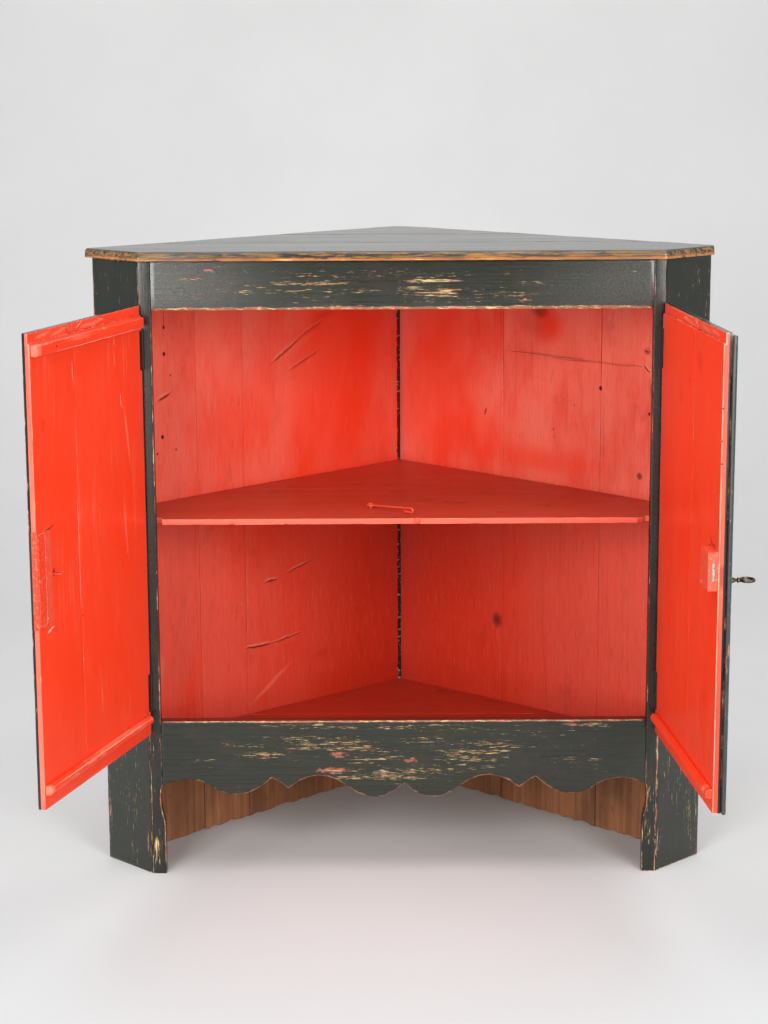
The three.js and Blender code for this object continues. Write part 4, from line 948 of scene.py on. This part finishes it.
def doorRule(side, local):
    if side.z > 0.2 or (side.y > 0.6 and local.y > doorFaces["topEnd"]):
        return 1
    if abs(side.z) < 0.6 and local.z > doorFaces["coat"]:
        return 1
    if side.x > 0.6 and local.x > 0.3:
        return 2
    if side.z < -0.6 and local.y > doorFaces["lipBottom"] and local.z > doorFaces["lipFace"]:
        return 3
    return 0


def coatLine(mesh, rub, lay):
    # a cut along the edges where the outer coat stops
    cutPlane(mesh, lay["origin"] + lay["through"] * doorFaces["coat"], lay["through"])


for hand, doorLay, battenLay, red, pink, battenPaint in (
    ("left", leftDoorLay, leftBattenLay, leftDoorRed, leftEdgePink, battenRed),
    ("right", rightDoorLay, rightBattenLay, rightDoorRed, rightEdgePink, rightBattenRed),
):
    for part in ("hinge_board", "meeting_board"):
        board(hand + "_door_" + part, (red, doorGreen, pink, doorLipRed), doorLay, doorRule, coatLine,
              inset=0.004, depth=0.0004, chip=0.001)
    board(hand + "_door_bottom_batten", (battenPaint,), battenLay, inset=0.002, depth=0.00015, chip=0.0003)
board("left_door_top_batten", (battenRed,), leftBattenLay, inset=0.003, depth=0.0003, chip=0.0006)
board("astragal", (astragalGreen,), rightDoorLay, inset=0.002, depth=0.0003, chip=0.0006)
print("doors dressed")


# iron: plates and bolt with their edges broken, the rest in the solids' own shapes
def ironPiece(node, finishes, arris=0.0004, lay=levelLay, rule=None):
    mesh = copyOf(node)
    easeEdges(mesh, arris, 0)
    if rule is not None:
        coatLine(mesh, None, lay)
    body = frame["nodes"][node]["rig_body"]
    return pieceFrom(mesh, camel(node), node, body, finishes, lay, 0.0, rule)


def strikeRule(side, local):
    return 1 if local.z > doorFaces["coat"] else 0


ironPiece("strike_plate", (strikeRed, ironGreen), 0.0003, leftDoorLay, strikeRule)
ironPiece("lock_case", (lockRed,), 0.0008)
ironPiece("lock_bolt", (boltBright,), 0.0003)
ironPiece("escutcheon", (ironDark,), 0.0003)

keptIron = {"hook_staple": ironRed, "shelf_hook": ironRed, "hook_pin": ironRed, "key": keyBrown}
for hand in ("left", "right"):
    for level in ("lower", "upper"):
        keptIron[hand + "_" + level + "_hinge_frame_leaf"] = ironGreen
        keptIron[hand + "_" + level + "_hinge_door_leaf"] = ironDark
        keptIron[hand + "_" + level + "_hinge_pin"] = ironDark
for node, finish in keptIron.items():
    piece = frame["nodes"][node]
    piece.data.materials.clear()
    piece.data.materials.append(finish)
print("iron dressed")


# nail and screw heads: flattened balls, joined for each body
headWork = {"around": 10, "rings": 6, "flat": 0.42}


def heads(name, body, finish, places):
    # places: the head's middle, the direction it faces, its radius
    mesh = bmesh.new()
    for middle, facing, radius in places:
        turn = Vector(facing).to_track_quat("Z", "Y").to_matrix().to_4x4()
        matrix = Matrix.Translation(middle) @ turn @ Matrix.Diagonal((1, 1, headWork["flat"], 1))
        bmesh.ops.create_uvsphere(mesh, u_segments=headWork["around"], v_segments=headWork["rings"],
                                  radius=radius, matrix=matrix)
    bmesh.ops.recalc_face_normals(mesh, faces=mesh.faces)
    return pieceFrom(mesh, name, None, body, (finish,), levelLay, 0.0)


def onLay(lay, across, along, through):
    return lay["origin"] + lay["across"] * across + lay["along"] * along + lay["through"] * through


def placesOn(lay, through, facing, radius, spots):
    direction = lay["through"] * facing
    return [(onLay(lay, across, along, through), direction, radius) for across, along in spots]


doorBody = {hand: frame["nodes"][hand + "_door_hinge_board"]["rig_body"] for hand in ("left", "right")}
caseBody = frame["nodes"]["top_rail"]["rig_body"]
battenFace = -0.0128
outerFace = 0.0102
topBattenNails = [(0.895, 0.045), (0.897, 0.135), (0.895, 0.215), (0.897, 0.29), (0.895, 0.35)]
bottomBattenNails = [(0.2648, along) for along in (0.04, 0.13, 0.235, 0.33)]
heads("leftTopBattenNails", doorBody["left"], ironRed,
      placesOn(leftBattenLay, battenFace, -1, 0.0017, topBattenNails))
heads("leftBottomBattenNails", doorBody["left"], ironRed,
      placesOn(leftBattenLay, battenFace, -1, 0.0015, bottomBattenNails))
heads("rightBottomBattenNails", doorBody["right"], ironRed,
      placesOn(rightBattenLay, battenFace, -1, 0.0015, bottomBattenNails))
rightFreeEdge = 0.4062
heads("rightEdgeNails", doorBody["right"], ironDark,
      [(onLay(rightDoorLay, rightFreeEdge, height, -0.0004), rightDoorLay["across"], 0.0014)
       for height in (0.815, 0.77, 0.738)])

# clenched nail points on the doors' outer faces, opposite the battens
for hand, lay in (("left", leftBattenLay), ("right", rightBattenLay)):
    spots = bottomBattenNails + (topBattenNails if hand == "left" else [])
    heads(hand + "DoorNailPoints", doorBody[hand], nailRust,
          placesOn(lay, outerFace, 1, 0.0019, spots))

# hinge screws: three in each leaf
hingeHeights = (0.305, 0.85)
screwOffsets = (-0.022, 0.0, 0.022)
frameLeafFace = frontY - 0.0012
screwSunk = 0.0006
doorLeafU, doorLeafFace = 0.008, -0.0018
outward = Vector((0, -1, 0))
levels = [height + offset for height in hingeHeights for offset in screwOffsets]
for hand, side, lay in (("left", -1, leftDoorLay), ("right", 1, rightDoorLay)):
    places = [Vector((side * 0.3932, frameLeafFace + screwSunk, level)) for level in levels]
    screws = [(place, outward, 0.0017) for place in places]
    heads(hand + "FrameScrews", caseBody, ironGreen, screws)
    heads(hand + "DoorScrews", doorBody[hand], ironDark,
          placesOn(lay, doorLeafFace + screwSunk, -1, 0.0017, [(doorLeafU, level) for level in levels]))

# nails through the top into the rail, the returns and the backs, and through the backs into shelf and floor
topNailMiddle = 0.9994  # driven nearly flush
topNails = [Vector((x, -0.546, topNailMiddle)) for x in (-0.36, -0.22, -0.07, 0.09, 0.24, 0.37)]
topNails += [Vector((side * along * halfRoot, -along * halfRoot, topNailMiddle))
             for side in (-1, 1) for along in (0.1, 0.26, 0.42, 0.58)]
heads("topNails", caseBody, nailRust, [(place, levelLay["through"], 0.0021) for place in topNails])
backNails = []
for lay in (leftWallLay, rightWallLay):
    for height in (0.19, 0.579, 0.976):
        for along in (0.07, 0.2, 0.34, 0.43, 0.53, 0.64):
            backNails.append((onLay(lay, along, height, 0.0065), lay["through"], 0.0021))
heads("backNails", caseBody, nailRust, backNails)
returnNails = []
for lay in (leftReturnLay, rightReturnLay):
    for along in (0.23, 0.6, 0.93):
        returnNails.append((onLay(lay, 0.108, along, 0.0057), lay["through"], 0.0019))
heads("returnNails", caseBody, nailRust, returnNails)

# the strike plate's rubbed rim: a rounded frame of thin wire on its face
rim = {"left": 0.368, "right": 0.3905, "bottom": 0.5045, "top": 0.6365, "corner": 0.004, "face": -0.0028,
       "wire": 0.0005, "around": 6, "cornerSteps": 5}


def rimWire():
    # sections of the wire set round the four corners, then bridged one to the next
    lay, corner = leftDoorLay, rim["corner"]
    left, right = rim["left"] + corner, rim["right"] - corner
    bottom, top = rim["bottom"] + corner, rim["top"] - corner
    middles = ((right, top), (left, top), (left, bottom), (right, bottom))
    points = []
    for quarter, (across, up) in enumerate(middles):
        for step in range(rim["cornerSteps"]):
            angle = math.radians(90 * (quarter + step / (rim["cornerSteps"] - 1)))
            points.append((across + corner * math.cos(angle), up + corner * math.sin(angle)))
    mesh = bmesh.new()
    rings = []
    for index, (across, up) in enumerate(points):
        before, after = points[index - 1], points[(index + 1) % len(points)]
        run, rise = after[0] - before[0], after[1] - before[1]
        tangent = (lay["across"] * run + lay["along"] * rise).normalized()
        outside = (lay["across"] * rise - lay["along"] * run).normalized()
        matrix = Matrix((lay["through"], outside, tangent)).transposed().to_4x4()
        matrix.translation = onLay(lay, across, up, rim["face"])
        bmesh.ops.create_circle(mesh, segments=rim["around"], radius=rim["wire"], matrix=matrix)
        mesh.edges.ensure_lookup_table()
        rings.append(mesh.edges[-rim["around"]:])
    for ring, following in zip(rings, rings[1:] + rings[:1]):
        bmesh.ops.bridge_loops(mesh, edges=ring + following)
    bmesh.ops.recalc_face_normals(mesh, faces=mesh.faces)
    return pieceFrom(mesh, "strikeRim", None, doorBody["left"], (rimPink,), lay, 0.0)


rimWire()
strikeNails = [(across, height) for across in (0.3655, 0.3885) for height in (0.512, 0.54, 0.57, 0.6, 0.629)]
heads("strikeNails", doorBody["left"], rimPink,
      placesOn(leftDoorLay, rim["face"], -1, 0.0012, strikeNails))

# lock screws and escutcheon pins
lockFace, escutcheonFace = -0.0161, 0.0117
lockCorners = [(across, height) for across in (0.364, 0.4) for height in (0.564, 0.609)]
heads("lockScrews", doorBody["right"], lockRed,
      placesOn(rightDoorLay, lockFace, -1, 0.0018, lockCorners))
heads("escutcheonPins", doorBody["right"], ironDark,
      placesOn(rightDoorLay, escutcheonFace, 1, 0.0011, ((0.3782, 0.5775), (0.3782, 0.5505))))
heads("stileNail", caseBody, nailRust, [(Vector((0.3931, frontY, 0.8604)), outward, 0.0019)])
print("fasteners set")

# old dirt fills the joints between the back planks, so no light comes through
dirt = {"low": 0.006, "high": 0.984, "half": 0.0042, "over": 0.0004}


def jointDirt(hand, lay):
    reach = {}
    for part in ("corner", "middle", "side"):
        verts = frame["nodes"][hand + "_back_" + part + "_plank"].data.vertices
        across = [(vert.co - lay["origin"]).dot(lay["across"]) for vert in verts]
        reach[part] = (min(across), max(across))
    mesh = bmesh.new()
    for before, after in (("corner", "middle"), ("middle", "side")):
        near, far = reach[before][1] - dirt["over"], reach[after][0] + dirt["over"]
        made = bmesh.ops.create_cube(mesh, size=1.0)
        for vert in made["verts"]:
            across = near if vert.co.x < 0 else far
            up = dirt["low"] if vert.co.y < 0 else dirt["high"]
            vert.co = onLay(lay, across, up, math.copysign(dirt["half"], vert.co.z))
    bmesh.ops.recalc_face_normals(mesh, faces=mesh.faces)
    return pieceFrom(mesh, hand + "JointDirt", None, caseBody, (jointBrown,), lay, 0.0)


jointDirt("left", leftWallLay)
jointDirt("right", rightWallLay)


# studio: a paper sweep and soft lights
studio = {
    "floorHalf": 6.0, "wallAt": 2.6, "bend": 1.4, "height": 5.0, "front": -9.0,
    "pale": (0.63, 0.63, 0.632), "nearFront": (0.5, 0.515, 0.52), "darkFront": (0.22, 0.22, 0.22),
    "sky": (0.93, 0.96, 1.0), "skyStrength": 0.51, "roomStrength": 0.12,
}


def makeSweep():
    # the side outline of a paper sweep, extruded sideways
    mesh = bmesh.new()
    side, bend = -studio["floorHalf"], studio["bend"]
    outline = [Vector((side, studio["front"], 0))]
    for index in range(13):
        angle = math.radians(90 * index / 12)
        back = studio["wallAt"] - bend + bend * math.sin(angle)
        outline.append(Vector((side, back, bend - bend * math.cos(angle))))
    outline.append(Vector((side, studio["wallAt"], studio["height"])))
    verts = [mesh.verts.new(point) for point in outline]
    edges = [mesh.edges.new(pair) for pair in zip(verts, verts[1:])]
    made = bmesh.ops.extrude_edge_only(mesh, edges=edges)
    moved = [item for item in made["geom"] if isinstance(item, bmesh.types.BMVert)]
    bmesh.ops.translate(mesh, verts=moved, vec=(studio["floorHalf"] * 2, 0, 0))
    bmesh.ops.recalc_face_normals(mesh, faces=mesh.faces)
    for face in mesh.faces:
        face.smooth = True
    data = bpy.data.meshes.new("paperSweep")
    mesh.to_mesh(data)
    mesh.free()
    sweep = bpy.data.objects.new("paperSweep", data)
    scene.collection.objects.link(sweep)
    paper = Finish("palePaper")
    where = paper.node("TexCoord").outputs["Object"]
    cloth = paper.cloud(where, 3.0, 4.0, 0.6)
    shaded = tuple(value * 0.97 for value in studio["pale"])
    shade = paper.blend(paper.cut(cloth, 0.3, 0.7), studio["pale"], shaded)
    forward = paper.node("SeparateXYZ", {0: where}).outputs[1]
    # the paper is painted darker towards the front: painted shade where less lamp light falls, and farther in
    # front, out of view, a painted dark floor for the glossy paint to mirror
    shade = paper.blend(paper.cut(forward, -0.45, -1.2), shade, studio["nearFront"])
    shade = paper.blend(paper.cut(forward, -1.3, -1.75), shade, studio["darkFront"])
    data.materials.append(paper.finish(shade, 0.9))
    return sweep


def softLight(name, place, target, size, power, tint):
    data = bpy.data.lights.new(name, "AREA")
    data.shape = "RECTANGLE"
    data.size, data.size_y = size
    data.energy = power
    data.color = tint
    light = bpy.data.objects.new(name, data)
    light.location = place
    light.rotation_euler = (Vector(target) - Vector(place)).to_track_quat("-Z", "Y").to_euler()
    scene.collection.objects.link(light)
    return light


makeSweep()
softLight("softLeft", (-1.6, -4.0, 1.5), (0, -0.4, 0.6), (1.6, 2.2), 125, (1.0, 0.985, 0.96))
softLight("softRight", (1.8, -3.9, 1.55), (0, -0.4, 0.6), (1.6, 2.2), 112, (1.0, 0.985, 0.96))
softLight("softLow", (0, -3.4, 0.3), (0, -0.2, 0.05), (3.2, 0.3), 7, (1.0, 0.99, 0.98))
softLight("softAbove", (0, -0.6, 3.8), (0, -0.3, 0), (4.2, 3.6), 104, (1.0, 0.99, 0.98))
world = bpy.data.worlds.new("studioSky")
world.use_nodes = True
skyTree = world.node_tree
# the room behind the camera is darker than the sides
skyNode = skyTree.nodes["Background"]
direction = skyTree.nodes.new("ShaderNodeTexCoord")
parts = skyTree.nodes.new("ShaderNodeSeparateXYZ")
darker = skyTree.nodes.new("ShaderNodeMapRange")
darker.interpolation_type = "SMOOTHSTEP"
darkRange = {"From Min": -0.99, "From Max": -0.55, "To Min": studio["roomStrength"],
             "To Max": studio["skyStrength"]}
for socket, value in darkRange.items():
    darker.inputs[socket].default_value = value
skyTree.links.new(direction.outputs["Generated"], parts.inputs[0])
skyTree.links.new(parts.outputs[1], darker.inputs["Value"])
skyTree.links.new(darker.outputs[0], skyNode.inputs["Strength"])
skyNode.inputs["Color"].default_value = (*studio["sky"], 1.0)
scene.world = world
scene.view_settings.view_transform = "Standard"

# camera, where the photographer stood
cameraSet = {"place": (-0.0301, -3.9649, 1.2641), "pitch": 0.19432, "yaw": 0.00014, "roll": -0.00471,
             "lens": 52.08, "filmHeight": 24}
cameraData = bpy.data.cameras.new("photoCamera")
cameraData.sensor_fit = "VERTICAL"
cameraData.sensor_height = cameraSet["filmHeight"]
cameraData.lens = cameraSet["lens"]
camera = bpy.data.objects.new("photoCamera", cameraData)
pitch = Matrix.Rotation(math.pi / 2 - cameraSet["pitch"], 4, "X")
turned = Matrix.Rotation(-cameraSet["yaw"], 4, "Z") @ pitch @ Matrix.Rotation(cameraSet["roll"], 4, "Z")
camera.matrix_world = Matrix.Translation(cameraSet["place"]) @ turned
scene.collection.objects.link(camera)
scene.camera = camera
print("studio and camera ready")
